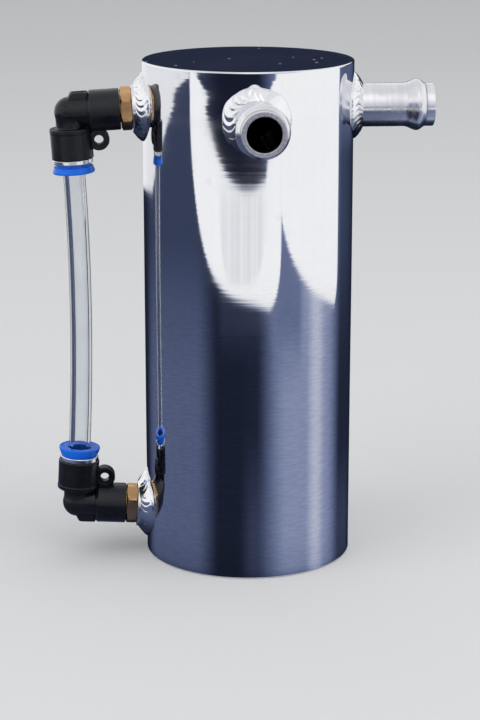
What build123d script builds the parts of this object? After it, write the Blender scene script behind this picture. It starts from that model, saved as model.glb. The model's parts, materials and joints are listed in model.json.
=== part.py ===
from build123d import *
from math import asin, cos, degrees, radians, sin
import os

# Oil catch can: a welded, polished aluminium can with two hose barbs and a clear sight gauge.
# Millimetres, +Z up, origin on the can's axis at the underside of the base.
# The front barb points along -Y, the side barb along +X, the sight gauge stands on the -X side
# and the mounting bracket on the +Y side.

# Can
can_od = 76.2
can_wall = 2.0
can_height = 184.0
plate_thickness = 3.0
rim_round = 0.8
port_inset = 17.0  # port axes below the top and above the base

# Welds
weld_gap = 0.05  # between the pieces that a weld joins
barb_weld_leg = 4.25  # from a barb out to the weld's toe on the wall
bung_weld_leg = 3.5  # from a bung out to the weld's toe on the wall
weld_height = 3.7  # up a spigot from the wall
weld_crown = 0.7  # how far the bead bulges past a straight fillet
weld_sink = 2.6  # deeper than the wall falls away beside a spigot

# Hose barbs
barb_od = 15.7
barb_bore = 11.9
barb_reach = 29.1  # wall to tip
barb_inside = 3.0  # past the wall's inner face
bead_od = 18.7
bead_length = 7.6
nose_length = 3.4
tip_round = 0.35
bore_chamfer = 0.5

# Sight gauge: bungs, brass studs and push-in elbows
gauge_lean = 3.2  # degrees that the outer ends of the two fittings lean towards each other
bung_od = 17.0
bung_proud = 3.8
bung_inside = 2.5  # past the wall's inner face
thread_od = 13.0
thread_clearance = 0.05
thread_length = 8.0
hex_across_flats = 14.0
hex_length = 4.1
hex_corner_chamfer = 0.6
upper_hex_turn = 58.3
lower_hex_turn = 56.5
passage = 5.0  # bore through stud and elbow
stud_spigot_od = 9.6
stud_spigot_length = 9.2
spigot_clearance = 0.1
groove_depth = 1.2
groove_width = 2.2
groove_from_hex = 5.0
seal_clearance = 0.05

barrel_od = 14.9
barrel_length = 11.4
barrel_gap = 0.2  # hex to barrel, so that the elbow swivels
barrel_end_chamfer = 0.9
neck_od = 11.0
leg_neck_od = 10.4
leg_from_hex = 18.3  # hex face to the axis of the elbow's leg
shoulder_at = 5.6  # along the leg from the barrel's axis
socket_od = 15.4
socket_end = 16.8
body_chamfer = 0.5
pad_width = 6.6
pad_height = 7.0  # barrel axis to the pad's face
pad_past_leg = 0.7
pad_border = 0.9
pad_recess = 0.35
lug_od = 7.7
lug_hole = 3.3
lug_thickness = 4.4
lug_along_leg = 10.4
lug_from_leg = 9.8
lug_recess_od = 5.2
lug_recess = 0.6
web_thickness = 3.0

# Push-in socket, all along the leg from the barrel's axis
tube_od = 8.0
tube_bore = 5.4
tube_clearance = 0.1
tube_stop = 7.5
cavity_at = 11.0
cavity_od = 12.4
ring_clearance = 0.1
tube_seal_length = 2.0
grab_ring_drop = 0.5  # how much deeper the teeth's tips lie than the rim
grab_ring_thickness = 0.35
grab_teeth = 8
tooth_slot = 0.7
tooth_rim = 0.8
retainer_flange_od = 14.2
retainer_flange = 1.7
retainer_wall = 0.6
retainer_shoulder = 0.5
collar_flange_od = 15.2
collar_flange = 2.4
collar_neck_od = 12.6
collar_neck_overlap = 0.2  # how far the neck stands in the ring at rest
collar_taper = 0.7
collar_travel = 0.9
collar_sleeve_wall = 0.75
collar_lip = 1.0
collar_clearance = 0.15

# Drain in the base
drain_offset = 20.0  # behind the can's axis
drain_boss_od = 18.0
drain_boss_height = 10.0
drain_plug_length = 9.0
drain_plug_recess = 0.6
drain_key = 7.0
drain_key_depth = 5.0
drain_mouth_chamfer = 0.5

# Mounting bracket
bracket_drop = 66.0  # underside of the bracket's leg below the can's top
bracket_width = 54.0
bracket_sheet = 3.0
bracket_standoff = 18.0  # can's wall to the bracket's mounting face
bracket_flange = 38.0
bracket_bend = 3.0  # inside radius
bracket_corner = 7.0
slot_width = 6.6
slot_length = 12.0
slot_spacing = 32.0
slot_height = 23.0  # above the underside of the leg
bracket_weld_leg = 3.4
bracket_weld_crown = 0.4
bracket_weld_short = 5.0  # degrees that the beads end short of the bracket's edges

# Derived sizes
can_radius = can_od / 2
upper_port_height = can_height - port_inset
lower_port_height = port_inset
bracket_height = can_height - bracket_drop
hex_face = bung_proud + hex_length
barrel_start = hex_face + barrel_gap
barrel_end = barrel_start + barrel_length
spigot_end = hex_face + stud_spigot_length
leg_offset = hex_face + leg_from_hex
cavity_radius = cavity_od / 2
ring_radius = cavity_radius - ring_clearance
tube_seal_at = cavity_at + ring_clearance
grab_ring_at = tube_seal_at + tube_seal_length + ring_clearance
grab_ring_end = grab_ring_at + grab_ring_drop + grab_ring_thickness
retainer_at = grab_ring_end + ring_clearance
retainer_end = socket_end + retainer_flange
collar_bore_radius = tube_od / 2 + collar_clearance
collar_sleeve_radius = collar_bore_radius + collar_sleeve_wall
retainer_bore_radius = collar_sleeve_radius + ring_clearance
retainer_shoulder_at = socket_end - retainer_shoulder
collar_lip_radius = ring_radius - retainer_wall - ring_clearance
collar_lip_end = retainer_shoulder_at - ring_clearance
collar_start = collar_lip_end - collar_lip
collar_neck_radius = collar_neck_od / 2
collar_neck_at = retainer_end - collar_neck_overlap
retainer_seat_radius = collar_neck_radius + ring_clearance
retainer_seat_at = collar_neck_at - collar_travel - ring_clearance
collar_flange_at = retainer_end + collar_travel + ring_clearance
collar_face = collar_flange_at + collar_flange

# Drain: origin on the base, Z up into the can
drain_plane = Plane(origin=(0, drain_offset, 0))

# Wall ports: origin on the wall, Z outwards along the port's axis, X along the elbow's leg on the gauge
lean_cos = cos(radians(gauge_lean))
lean_sin = sin(radians(gauge_lean))
front_port = Plane(origin=(0, -can_radius, upper_port_height), x_dir=(1, 0, 0), z_dir=(0, -1, 0))
side_port = Plane(origin=(can_radius, 0, upper_port_height), x_dir=(0, 1, 0), z_dir=(1, 0, 0))
upper_port = Plane(
    origin=(-can_radius, 0, upper_port_height),
    x_dir=(lean_sin, 0, -lean_cos),
    z_dir=(-lean_cos, 0, -lean_sin),
)
lower_port = Plane(
    origin=(-can_radius, 0, lower_port_height),
    x_dir=(lean_sin, 0, lean_cos),
    z_dir=(-lean_cos, 0, lean_sin),
)


def profile_plane(port):
    """Sketch plane through a port's axis: x is the radius and y the height along the axis."""
    return Plane(origin=port.origin, x_dir=port.x_dir, z_dir=-port.y_dir)


def turning_axis(port):
    """Axis of a port."""
    return Axis(port.origin, port.z_dir)


def elbow_leg(port):
    """Plane of an elbow's leg: origin on the barrel's axis, Z along the leg, X towards the can."""
    return Plane(origin=port.origin + port.z_dir * leg_offset, x_dir=-port.z_dir, z_dir=port.x_dir)


# Can: rolled tube between two flat plates, welded and polished flush
with BuildPart() as can_tube:
    with BuildSketch(Plane.XY.offset(plate_thickness)):
        Circle(can_radius)
        Circle(can_radius - can_wall, mode=Mode.SUBTRACT)
    extrude(amount=can_height - 2 * plate_thickness)
    for port, spigot_od in (
        (front_port, barb_od),
        (side_port, barb_od),
        (upper_port, bung_od),
        (lower_port, bung_od),
    ):
        with BuildSketch(port):
            Circle(spigot_od / 2 + weld_gap)
        extrude(amount=spigot_od / 2, both=True, mode=Mode.SUBTRACT)

with BuildPart() as top_plate:
    with BuildSketch(Plane.XY.offset(can_height - plate_thickness)):
        Circle(can_radius)
    extrude(amount=plate_thickness)
    fillet(top_plate.faces().sort_by(Axis.Z)[-1].edges(), radius=rim_round)

with BuildPart() as bottom_plate:
    with BuildSketch(Plane.XY):
        Circle(can_radius)
    extrude(amount=plate_thickness)
    fillet(bottom_plate.faces().sort_by(Axis.Z)[0].edges(), radius=rim_round)
    with BuildSketch(drain_plane):
        Circle(drain_boss_od / 2 + weld_gap)
    extrude(amount=plate_thickness, mode=Mode.SUBTRACT)


# Drain: a threaded boss flush with the base, and a socket plug set into it
with BuildPart() as drain_boss:
    with BuildSketch(drain_plane):
        Circle(drain_boss_od / 2)
        Circle(thread_od / 2 + thread_clearance, mode=Mode.SUBTRACT)
    extrude(amount=drain_boss_height)
    mouth = drain_boss.faces().sort_by(Axis.Z)[0].edges().sort_by(SortBy.RADIUS)[0]
    chamfer(mouth, length=drain_mouth_chamfer)

with BuildPart() as drain_plug:
    with BuildSketch(drain_plane.offset(drain_plug_recess)):
        Circle(thread_od / 2)
    extrude(amount=drain_plug_length)
    with BuildSketch(drain_plane.offset(drain_plug_recess)):
        RegularPolygon(radius=drain_key / 2, side_count=6, major_radius=False)
    extrude(amount=drain_key_depth, mode=Mode.SUBTRACT)


def hose_barb(port):
    """Turned hose barb: a spigot through the wall, a rolled bead and a short nose."""
    spigot, bore = barb_od / 2, barb_bore / 2
    inner_end = -(can_wall + barb_inside)
    bead_end = barb_reach - nose_length
    bead_start = bead_end - bead_length
    bead_crest = (bead_od / 2, (bead_start + bead_end) / 2)
    with BuildPart() as barb:
        with BuildSketch(profile_plane(port)):
            with BuildLine():
                Polyline((bore, inner_end), (spigot, inner_end), (spigot, bead_start))
                ThreePointArc((spigot, bead_start), bead_crest, (spigot, bead_end))
                Line((spigot, bead_end), (spigot, barb_reach - tip_round))
                TangentArc((spigot, barb_reach - tip_round), (spigot - tip_round, barb_reach), tangent=(0, 1))
                Polyline(
                    (spigot - tip_round, barb_reach),
                    (bore + bore_chamfer, barb_reach),
                    (bore, barb_reach - bore_chamfer),
                    (bore, inner_end),
                )
            make_face()
        revolve(axis=turning_axis(port))
    return barb.part


def port_weld(port, spigot_od, weld_leg):
    """Fillet weld round a spigot: a convex ring that follows the can's curved wall."""
    inner = spigot_od / 2 + weld_gap
    crown = (inner, weld_height)
    toe = (spigot_od / 2 + weld_leg, -weld_sink)
    bulge = (
        (crown[0] + toe[0]) / 2 + weld_crown,
        (crown[1] + toe[1]) / 2 + weld_crown,
    )
    with BuildPart() as weld:
        with BuildSketch(profile_plane(port)):
            with BuildLine():
                ThreePointArc(crown, bulge, toe)
                Polyline(toe, (inner, -weld_sink), crown)
            make_face()
        revolve(axis=turning_axis(port))
        with BuildSketch(Plane.XY):
            Circle(can_radius + weld_gap)
        extrude(amount=can_height, mode=Mode.SUBTRACT)
    return weld.part


def gauge_bung(port):
    """Threaded bung that the wall carries for a gauge fitting."""
    with BuildPart() as bung:
        with BuildSketch(port.offset(-(can_wall + bung_inside))):
            Circle(bung_od / 2)
            Circle(thread_od / 2 + thread_clearance, mode=Mode.SUBTRACT)
        extrude(amount=can_wall + bung_inside + bung_proud)
    return bung.part


def brass_stud(port, hex_turn):
    """Brass stud of an elbow: pipe thread, hexagon and the grooved spigot that the elbow turns on."""
    corner = hex_across_flats / 2 / cos(radians(30))
    with BuildPart() as stud:
        with BuildSketch(port.offset(bung_proud)):
            RegularPolygon(radius=hex_across_flats / 2, side_count=6, major_radius=False, rotation=hex_turn)
        extrude(amount=hex_length)
        with BuildSketch(profile_plane(port)):
            with BuildLine():
                Polyline(
                    (0, bung_proud),
                    (corner, bung_proud),
                    (corner, hex_face - hex_corner_chamfer),
                    (corner - 2 * hex_corner_chamfer, hex_face),
                    (0, hex_face),
                    close=True,
                )
            make_face()
        revolve(axis=turning_axis(port), mode=Mode.INTERSECT)
        with BuildSketch(port.offset(bung_proud - thread_length)):
            Circle(thread_od / 2)
        extrude(amount=thread_length)
        with BuildSketch(port.offset(hex_face)):
            Circle(stud_spigot_od / 2)
        extrude(amount=stud_spigot_length)
        with BuildSketch(port.offset(hex_face + groove_from_hex)):
            Circle(stud_spigot_od / 2)
            Circle(stud_spigot_od / 2 - groove_depth, mode=Mode.SUBTRACT)
        extrude(amount=groove_width, mode=Mode.SUBTRACT)
        with BuildSketch(port.offset(bung_proud - thread_length)):
            Circle(passage / 2)
        extrude(amount=thread_length + hex_length + stud_spigot_length, mode=Mode.SUBTRACT)
    return stud.part


def swivel_seal(port):
    """Seal ring in the stud's groove."""
    groove_radius = stud_spigot_od / 2 - groove_depth
    with BuildPart() as seal:
        with BuildSketch(port.offset(hex_face + groove_from_hex + seal_clearance)):
            Circle(stud_spigot_od / 2 + spigot_clearance - seal_clearance)
            Circle(groove_radius + seal_clearance, mode=Mode.SUBTRACT)
        extrude(amount=groove_width - 2 * seal_clearance)
    return seal.part


def elbow_body(port):
    """Moulded elbow: swivel barrel, neck, push-in socket, marking pad and a lug with an eye."""
    leg = elbow_leg(port)
    neck = neck_od / 2
    leg_neck = leg_neck_od / 2
    barrel = barrel_od / 2
    socket = socket_od / 2
    pad_length = leg_offset + pad_past_leg - barrel_end
    pad_plane = Plane(
        origin=port.origin + port.z_dir * (barrel_end + pad_length / 2),
        x_dir=port.z_dir,
        z_dir=-port.x_dir,
    )
    lug_plane = Plane(
        origin=leg.origin + leg.z_dir * lug_along_leg + leg.x_dir * lug_from_leg,
        x_dir=leg.x_dir,
        z_dir=port.y_dir,
    )
    web_centre = Plane(
        origin=leg.origin + leg.z_dir * lug_along_leg / 2 + leg.x_dir * lug_from_leg / 2,
        x_dir=leg.x_dir,
        z_dir=port.y_dir,
    )
    with BuildPart() as elbow:
        with BuildSketch(profile_plane(port)):
            with BuildLine():
                Polyline(
                    (0, barrel_start),
                    (barrel - body_chamfer, barrel_start),
                    (barrel, barrel_start + body_chamfer),
                    (barrel, barrel_end - barrel_end_chamfer),
                    (barrel - barrel_end_chamfer, barrel_end),
                    (neck, barrel_end),
                    (neck, leg_offset),
                    (0, leg_offset),
                    close=True,
                )
            make_face()
        revolve(axis=turning_axis(port))
        with Locations(leg.origin):
            Sphere(neck)
        with BuildSketch(profile_plane(leg)):
            with BuildLine():
                Polyline(
                    (0, 0),
                    (leg_neck, 0),
                    (leg_neck, shoulder_at),
                    (socket - body_chamfer, shoulder_at),
                    (socket, shoulder_at + body_chamfer),
                    (socket, socket_end - body_chamfer),
                    (socket - body_chamfer, socket_end),
                    (0, socket_end),
                    close=True,
                )
            make_face()
        revolve(axis=turning_axis(leg))
        with BuildSketch(pad_plane):
            Rectangle(pad_length, pad_width)
        extrude(amount=pad_height)
        with BuildSketch(pad_plane.offset(pad_height)):
            Rectangle(pad_length - 2 * pad_border, pad_width - 2 * pad_border)
        extrude(amount=-pad_recess, mode=Mode.SUBTRACT)
        with BuildSketch(web_centre):
            Rectangle(lug_from_leg, lug_along_leg)
        extrude(amount=web_thickness / 2, both=True)
        with BuildSketch(lug_plane):
            Circle(lug_od / 2)
        extrude(amount=lug_thickness / 2, both=True)
        with BuildSketch(profile_plane(port)):
            with BuildLine():
                Polyline(
                    (0, barrel_start),
                    (stud_spigot_od / 2 + spigot_clearance, barrel_start),
                    (stud_spigot_od / 2 + spigot_clearance, spigot_end + spigot_clearance),
                    (passage / 2, spigot_end + spigot_clearance),
                    (passage / 2, leg_offset),
                    (0, leg_offset),
                    close=True,
                )
            make_face()
        revolve(axis=turning_axis(port), mode=Mode.SUBTRACT)
        with BuildSketch(profile_plane(leg)):
            with BuildLine():
                Polyline(
                    (0, 0),
                    (passage / 2, 0),
                    (passage / 2, tube_stop),
                    (tube_od / 2 + tube_clearance, tube_stop),
                    (tube_od / 2 + tube_clearance, cavity_at),
                    (cavity_radius, cavity_at),
                    (cavity_radius, socket_end),
                    (0, socket_end),
                    close=True,
                )
            make_face()
        revolve(axis=turning_axis(leg), mode=Mode.SUBTRACT)
        with BuildSketch(lug_plane):
            Circle(lug_hole / 2)
        extrude(amount=lug_thickness / 2, both=True, mode=Mode.SUBTRACT)
        for side in (1, -1):
            with BuildSketch(lug_plane.offset(side * lug_thickness / 2)):
                Circle(lug_recess_od / 2)
            extrude(amount=-side * lug_recess, mode=Mode.SUBTRACT)
    return elbow.part


def tube_seal(leg):
    """Seal ring that grips the sight tube at the bottom of the socket."""
    with BuildPart() as seal:
        with BuildSketch(leg.offset(tube_seal_at)):
            Circle(ring_radius)
            Circle(tube_od / 2 + seal_clearance, mode=Mode.SUBTRACT)
        extrude(amount=tube_seal_length)
    return seal.part


def grab_ring(leg):
    """Spring steel ring whose slit cone of teeth holds the tube."""
    tip = tube_od / 2 + tube_clearance
    rim_bottom = grab_ring_at + grab_ring_drop
    slot_start = tip - tooth_slot
    slot_depth = ring_radius - tooth_rim - slot_start
    with BuildPart() as ring:
        with BuildSketch(profile_plane(leg)):
            with BuildLine():
                Polyline(
                    (tip, grab_ring_at),
                    (tip, grab_ring_at + grab_ring_thickness),
                    (ring_radius - tooth_rim, rim_bottom + grab_ring_thickness),
                    (ring_radius, rim_bottom + grab_ring_thickness),
                    (ring_radius, rim_bottom),
                    (ring_radius - tooth_rim, rim_bottom),
                    close=True,
                )
            make_face()
        revolve(axis=turning_axis(leg))
        with BuildSketch(leg.offset(grab_ring_at)):
            with PolarLocations(slot_start + slot_depth / 2, grab_teeth):
                Rectangle(slot_depth, tooth_slot)
        extrude(amount=grab_ring_drop + grab_ring_thickness, mode=Mode.SUBTRACT)
    return ring.part


def retaining_ring(leg):
    """Plated ring in the socket's mouth: it keeps the collar in, seats its neck and shows as a band."""
    with BuildPart() as ring:
        with BuildSketch(profile_plane(leg)):
            with BuildLine():
                Polyline(
                    (ring_radius - retainer_wall, retainer_at),
                    (ring_radius, retainer_at),
                    (ring_radius, socket_end),
                    (retainer_flange_od / 2, socket_end),
                    (retainer_flange_od / 2, retainer_end),
                    (retainer_seat_radius, retainer_end),
                    (retainer_seat_radius, retainer_seat_at),
                    (retainer_bore_radius, retainer_seat_at),
                    (retainer_bore_radius, retainer_shoulder_at),
                    (ring_radius - retainer_wall, retainer_shoulder_at),
                    close=True,
                )
            make_face()
        revolve(axis=turning_axis(leg))
    return ring.part


def release_collar(leg):
    """Release collar: a lipped sleeve round the tube, a neck and a tapered flange to press."""
    flange = collar_flange_od / 2
    with BuildPart() as collar:
        with BuildSketch(profile_plane(leg)):
            with BuildLine():
                Polyline(
                    (collar_bore_radius, collar_start),
                    (collar_lip_radius, collar_start),
                    (collar_lip_radius, collar_lip_end),
                    (collar_sleeve_radius, collar_lip_end),
                    (collar_sleeve_radius, collar_neck_at),
                    (collar_neck_radius, collar_neck_at),
                    (collar_neck_radius, collar_flange_at),
                    (flange - collar_taper, collar_flange_at),
                    (flange, collar_face - collar_taper),
                    (flange, collar_face),
                    (collar_bore_radius, collar_face),
                    close=True,
                )
            make_face()
        revolve(axis=turning_axis(leg))
    return collar.part


# Sight tube: straight in each socket and one long arc between the collars
upper_leg = elbow_leg(upper_port)
lower_leg = elbow_leg(lower_port)
tube_end = tube_stop + tube_clearance
with BuildPart() as sight_tube:
    with BuildLine() as tube_route:
        upper_run = Line(upper_leg.from_local_coords((0, 0, tube_end)), upper_leg.from_local_coords((0, 0, collar_face)))
        bow = TangentArc(upper_run @ 1, lower_leg.from_local_coords((0, 0, collar_face)), tangent=upper_leg.z_dir)
        Line(bow @ 1, lower_leg.from_local_coords((0, 0, tube_end)))
    with BuildSketch(Plane(origin=upper_run @ 0, z_dir=upper_leg.z_dir)):
        Circle(tube_od / 2)
        Circle(tube_bore / 2, mode=Mode.SUBTRACT)
    sweep(path=tube_route.wire())


# Mounting bracket: a bent sheet, its leg cut to the can's wall and its flange slotted for two bolts
mounting_face = can_radius + bracket_standoff
bracket_top = bracket_height + bracket_flange
with BuildPart() as mounting_bracket:
    with BuildSketch(Plane.YZ):
        with BuildLine():
            Polyline(
                (0, bracket_height),
                (mounting_face, bracket_height),
                (mounting_face, bracket_top),
                (mounting_face - bracket_sheet, bracket_top),
                (mounting_face - bracket_sheet, bracket_height + bracket_sheet),
                (0, bracket_height + bracket_sheet),
                close=True,
            )
        make_face()
    extrude(amount=bracket_width / 2, both=True)
    long_edges = mounting_bracket.edges().filter_by(Axis.X)
    outer_bend = long_edges.sort_by_distance((0, mounting_face, bracket_height))[0]
    inner_bend = long_edges.sort_by_distance(
        (0, mounting_face - bracket_sheet, bracket_height + bracket_sheet)
    )[0]
    fillet(outer_bend, radius=bracket_bend + bracket_sheet)
    fillet(inner_bend, radius=bracket_bend)
    corners = mounting_bracket.edges().filter_by(Axis.Y).group_by(Axis.Z)[-1]
    fillet(corners, radius=bracket_corner)
    with BuildSketch(Plane.XY):
        Circle(can_radius + weld_gap)
    extrude(amount=can_height, mode=Mode.SUBTRACT)
    with BuildSketch(Plane.XZ.offset(-mounting_face)):
        with Locations((0, bracket_height + slot_height)):
            with GridLocations(slot_spacing, 0, 2, 1):
                SlotOverall(slot_length, slot_width)
    extrude(amount=bracket_sheet, mode=Mode.SUBTRACT)


def bracket_weld(level, upwards):
    """Fillet bead between the can's wall and one face of the bracket's leg."""
    half_sweep = degrees(asin(bracket_width / can_od)) - bracket_weld_short
    start = radians(90 - half_sweep)
    start_plane = Plane(
        origin=(0, 0, 0),
        x_dir=(cos(start), sin(start), 0),
        z_dir=(sin(start), -cos(start), 0),
    )
    wall = can_radius + weld_gap
    face = level + upwards * weld_gap
    wall_toe = (wall, face + upwards * bracket_weld_leg)
    leg_toe = (wall + bracket_weld_leg, face)
    bulge = (
        wall + bracket_weld_leg / 2 + bracket_weld_crown,
        face + upwards * (bracket_weld_leg / 2 + bracket_weld_crown),
    )
    with BuildPart() as bead:
        with BuildSketch(start_plane):
            with BuildLine():
                ThreePointArc(wall_toe, bulge, leg_toe)
                Polyline(leg_toe, (wall, face), wall_toe)
            make_face()
        revolve(axis=Axis.Z, revolution_arc=2 * half_sweep)
    return bead.part


pieces = {
    "can_tube": can_tube.part,
    "top_plate": top_plate.part,
    "bottom_plate": bottom_plate.part,
    "drain_boss": drain_boss.part,
    "drain_plug": drain_plug.part,
    "sight_tube": sight_tube.part,
    "mounting_bracket": mounting_bracket.part,
    "bracket_upper_weld": bracket_weld(bracket_height + bracket_sheet, 1),
    "bracket_lower_weld": bracket_weld(bracket_height, -1),
}
for name, port in (("front", front_port), ("side", side_port)):
    pieces[f"{name}_hose_barb"] = hose_barb(port)
    pieces[f"{name}_barb_weld"] = port_weld(port, barb_od, barb_weld_leg)
for name, port, hex_turn in (
    ("upper", upper_port, upper_hex_turn),
    ("lower", lower_port, lower_hex_turn),
):
    leg = elbow_leg(port)
    pieces[f"{name}_bung"] = gauge_bung(port)
    pieces[f"{name}_bung_weld"] = port_weld(port, bung_od, bung_weld_leg)
    pieces[f"{name}_brass_stud"] = brass_stud(port, hex_turn)
    pieces[f"{name}_swivel_seal"] = swivel_seal(port)
    pieces[f"{name}_elbow_body"] = elbow_body(port)
    pieces[f"{name}_tube_seal"] = tube_seal(leg)
    pieces[f"{name}_grab_ring"] = grab_ring(leg)
    pieces[f"{name}_retaining_ring"] = retaining_ring(leg)
    pieces[f"{name}_release_collar"] = release_collar(leg)

os.makedirs("parts", exist_ok=True)
for name, piece in pieces.items():
    piece.label = name
    export_step(piece, f"parts/{name}.step")
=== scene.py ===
"""Looks of the oil catch can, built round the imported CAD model.

Lengths are in millimetres, as in the part's source, and meshes are put down in metres. The frame is the
CAD model's: origin under the can's base, +Z up, front barb along -Y, side barb along +X, gauge on the -X
side and bracket on the +Y side.
"""

import json
import logging
from dataclasses import dataclass, field
from enum import Enum
from typing import Optional, Sequence

import bmesh
import bpy
import numpy as np
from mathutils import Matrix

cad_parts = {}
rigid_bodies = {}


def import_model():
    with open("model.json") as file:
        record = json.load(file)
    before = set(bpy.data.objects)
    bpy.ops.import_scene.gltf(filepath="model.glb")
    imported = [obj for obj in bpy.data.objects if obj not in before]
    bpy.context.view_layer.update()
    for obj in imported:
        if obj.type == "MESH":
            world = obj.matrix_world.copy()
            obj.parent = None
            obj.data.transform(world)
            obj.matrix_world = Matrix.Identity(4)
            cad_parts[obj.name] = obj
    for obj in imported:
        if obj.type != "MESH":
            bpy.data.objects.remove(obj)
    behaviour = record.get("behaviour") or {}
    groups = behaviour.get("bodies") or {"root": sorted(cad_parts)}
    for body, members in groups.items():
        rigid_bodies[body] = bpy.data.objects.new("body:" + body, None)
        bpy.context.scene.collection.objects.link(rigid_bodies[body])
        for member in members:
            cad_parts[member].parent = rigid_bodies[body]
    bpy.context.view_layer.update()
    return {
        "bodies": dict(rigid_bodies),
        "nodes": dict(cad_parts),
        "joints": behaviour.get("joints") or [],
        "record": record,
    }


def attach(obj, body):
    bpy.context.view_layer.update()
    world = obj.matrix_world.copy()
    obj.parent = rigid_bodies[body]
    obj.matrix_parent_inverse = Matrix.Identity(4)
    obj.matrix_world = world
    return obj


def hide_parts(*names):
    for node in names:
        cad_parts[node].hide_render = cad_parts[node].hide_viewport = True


MM = 0.001
TURN = 2 * np.pi
SUPPORT_RUN = 0.08  # flat run kept beside each rounding, so that the flats shade flat
MERGE_DISTANCE = 1e-6
SHARP_ANGLE = np.radians(32.0)
FLAT_ANGLE = np.radians(0.5)  # faces of a CAD node whose normals differ less than this become one
BEVEL_SEGMENTS = 2
SIDE_SLOPE = 0.5  # faces whose normal rises less than this belong to a plate's side
UNDER_SPAN = (0.0, 0.7)  # how far down a side faces where painted shade starts and where it is full
BLOCK_POWER = 8.0  # power of a rounded block's superellipse
FILLET_FLAT = 0.62  # share of a fillet bead's section that is straight, the rest being round
ROUND_STEPS = 96  # columns round most pieces
FINE_STEPS = 128  # columns round the gauge's turned pieces
DRILL_HALF = 8.0  # half length of the drills for the can's holes
DRILL_PAST = 1.0  # how far other drills reach past both faces

Triple = tuple[float, float, float]
Colour = Triple
Corner = Triple

log = logging.getLogger("catch_can")


class Body(Enum):
    """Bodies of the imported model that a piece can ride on."""

    CAN = "can"
    UPPER_COLLAR = "upper_collar"
    LOWER_COLLAR = "lower_collar"


class Slot(Enum):
    """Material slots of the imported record."""

    POLISHED = "polished_aluminium"
    TURNED = "turned_aluminium"
    WELD = "weld_aluminium"
    SHEET = "sheet_aluminium"
    BRASS = "brass"
    BLACK = "black_plastic"
    BLUE = "blue_plastic"
    PLATED = "plated_metal"
    CLEAR = "clear_tube"
    RUBBER = "seal_rubber"
    SPRING = "spring_steel"
    PLUG = "plug_steel"


class GrainSource(Enum):
    """What a finish's grain follows: the model's own coordinates, or the height along a turned piece."""

    OBJECT = "object"
    ALONG = "along"


class Level(Enum):
    """The two fittings of the sight gauge."""

    UPPER = "upper"
    LOWER = "lower"


# Frames, outlines and surfaces


@dataclass(frozen=True)
class Frame:
    """A place to build in: an origin, an axis that heights run along, and a direction across it.

    Attributes:
        origin: Origin in millimetres.
        across: Unit direction at zero turn.
        axis: Unit direction of heights.
    """

    origin: np.ndarray
    across: np.ndarray
    axis: np.ndarray

    @property
    def side(self) -> np.ndarray:
        """Unit direction at a quarter turn."""
        return np.cross(self.axis, self.across)

    def place(self, local: np.ndarray) -> np.ndarray:
        """Points given by their distances across, aside and along, in the model's coordinates."""
        return self.origin + local @ np.stack([self.across, self.side, self.axis])

    def moved(self, across: float = 0.0, along: float = 0.0) -> "Frame":
        """Same directions, with the origin moved across and along the axis."""
        return Frame(self.origin + across * self.across + along * self.axis, self.across, self.axis)


@dataclass
class Grid:
    """A surface as points on a grid of two parameters, rows by columns.

    Attributes:
        points: Points in millimetres, rows by columns by three.
        rows_closed: Whether the last row joins the first.
        columns_closed: Whether the last column joins the first.
        marks: Values for the finish by name, one for each row or each point.
    """

    points: np.ndarray
    rows_closed: bool = True
    columns_closed: bool = True
    marks: dict[str, np.ndarray] = field(default_factory=dict)

    def faces(self) -> np.ndarray:
        """Corner numbers of each four-sided face: a point, and its neighbours in the next row and column.

        Returns:
            Faces by four corner numbers.
        """
        rows, columns = self.points.shape[:2]
        row = np.arange(rows if self.rows_closed else rows - 1)[:, None]
        column = np.arange(columns if self.columns_closed else columns - 1)[None, :]
        next_row = (row + 1) % rows
        next_column = (column + 1) % columns
        corners = (
            row * columns + column,
            row * columns + next_column,
            next_row * columns + next_column,
            next_row * columns + column,
        )
        return np.stack(np.broadcast_arrays(*corners), axis=-1).reshape(-1, 4)

    def mark(self, name: str) -> np.ndarray:
        """Values of a mark, one for each point."""
        rows, columns = self.points.shape[:2]
        return np.broadcast_to(self.marks[name].reshape(rows, -1), (rows, columns)).flatten()


def unit(vector: np.ndarray) -> np.ndarray:
    """The vector at length one."""
    return vector / np.linalg.norm(vector)


def smooth_step(low: float, high: float, value: np.ndarray) -> np.ndarray:
    """Zero below low, one above high, and 3s^2 - 2s^3 between them."""
    share = np.clip((value - low) / (high - low), 0.0, 1.0)
    return share * share * (3 - 2 * share)


def turns(steps: int) -> np.ndarray:
    """Angles of a full turn in even steps, as one row."""
    return np.linspace(0.0, TURN, steps, endpoint=False)[None, :]


def round_axis(radius: np.ndarray, turn: np.ndarray, height: np.ndarray) -> np.ndarray:
    """Local points at radius r, turn t and height h: r cos t across, r sin t aside and h along."""
    local = (radius * np.cos(turn), radius * np.sin(turn), height + 0 * turn)
    return np.stack(np.broadcast_arrays(*local), axis=-1)


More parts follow.
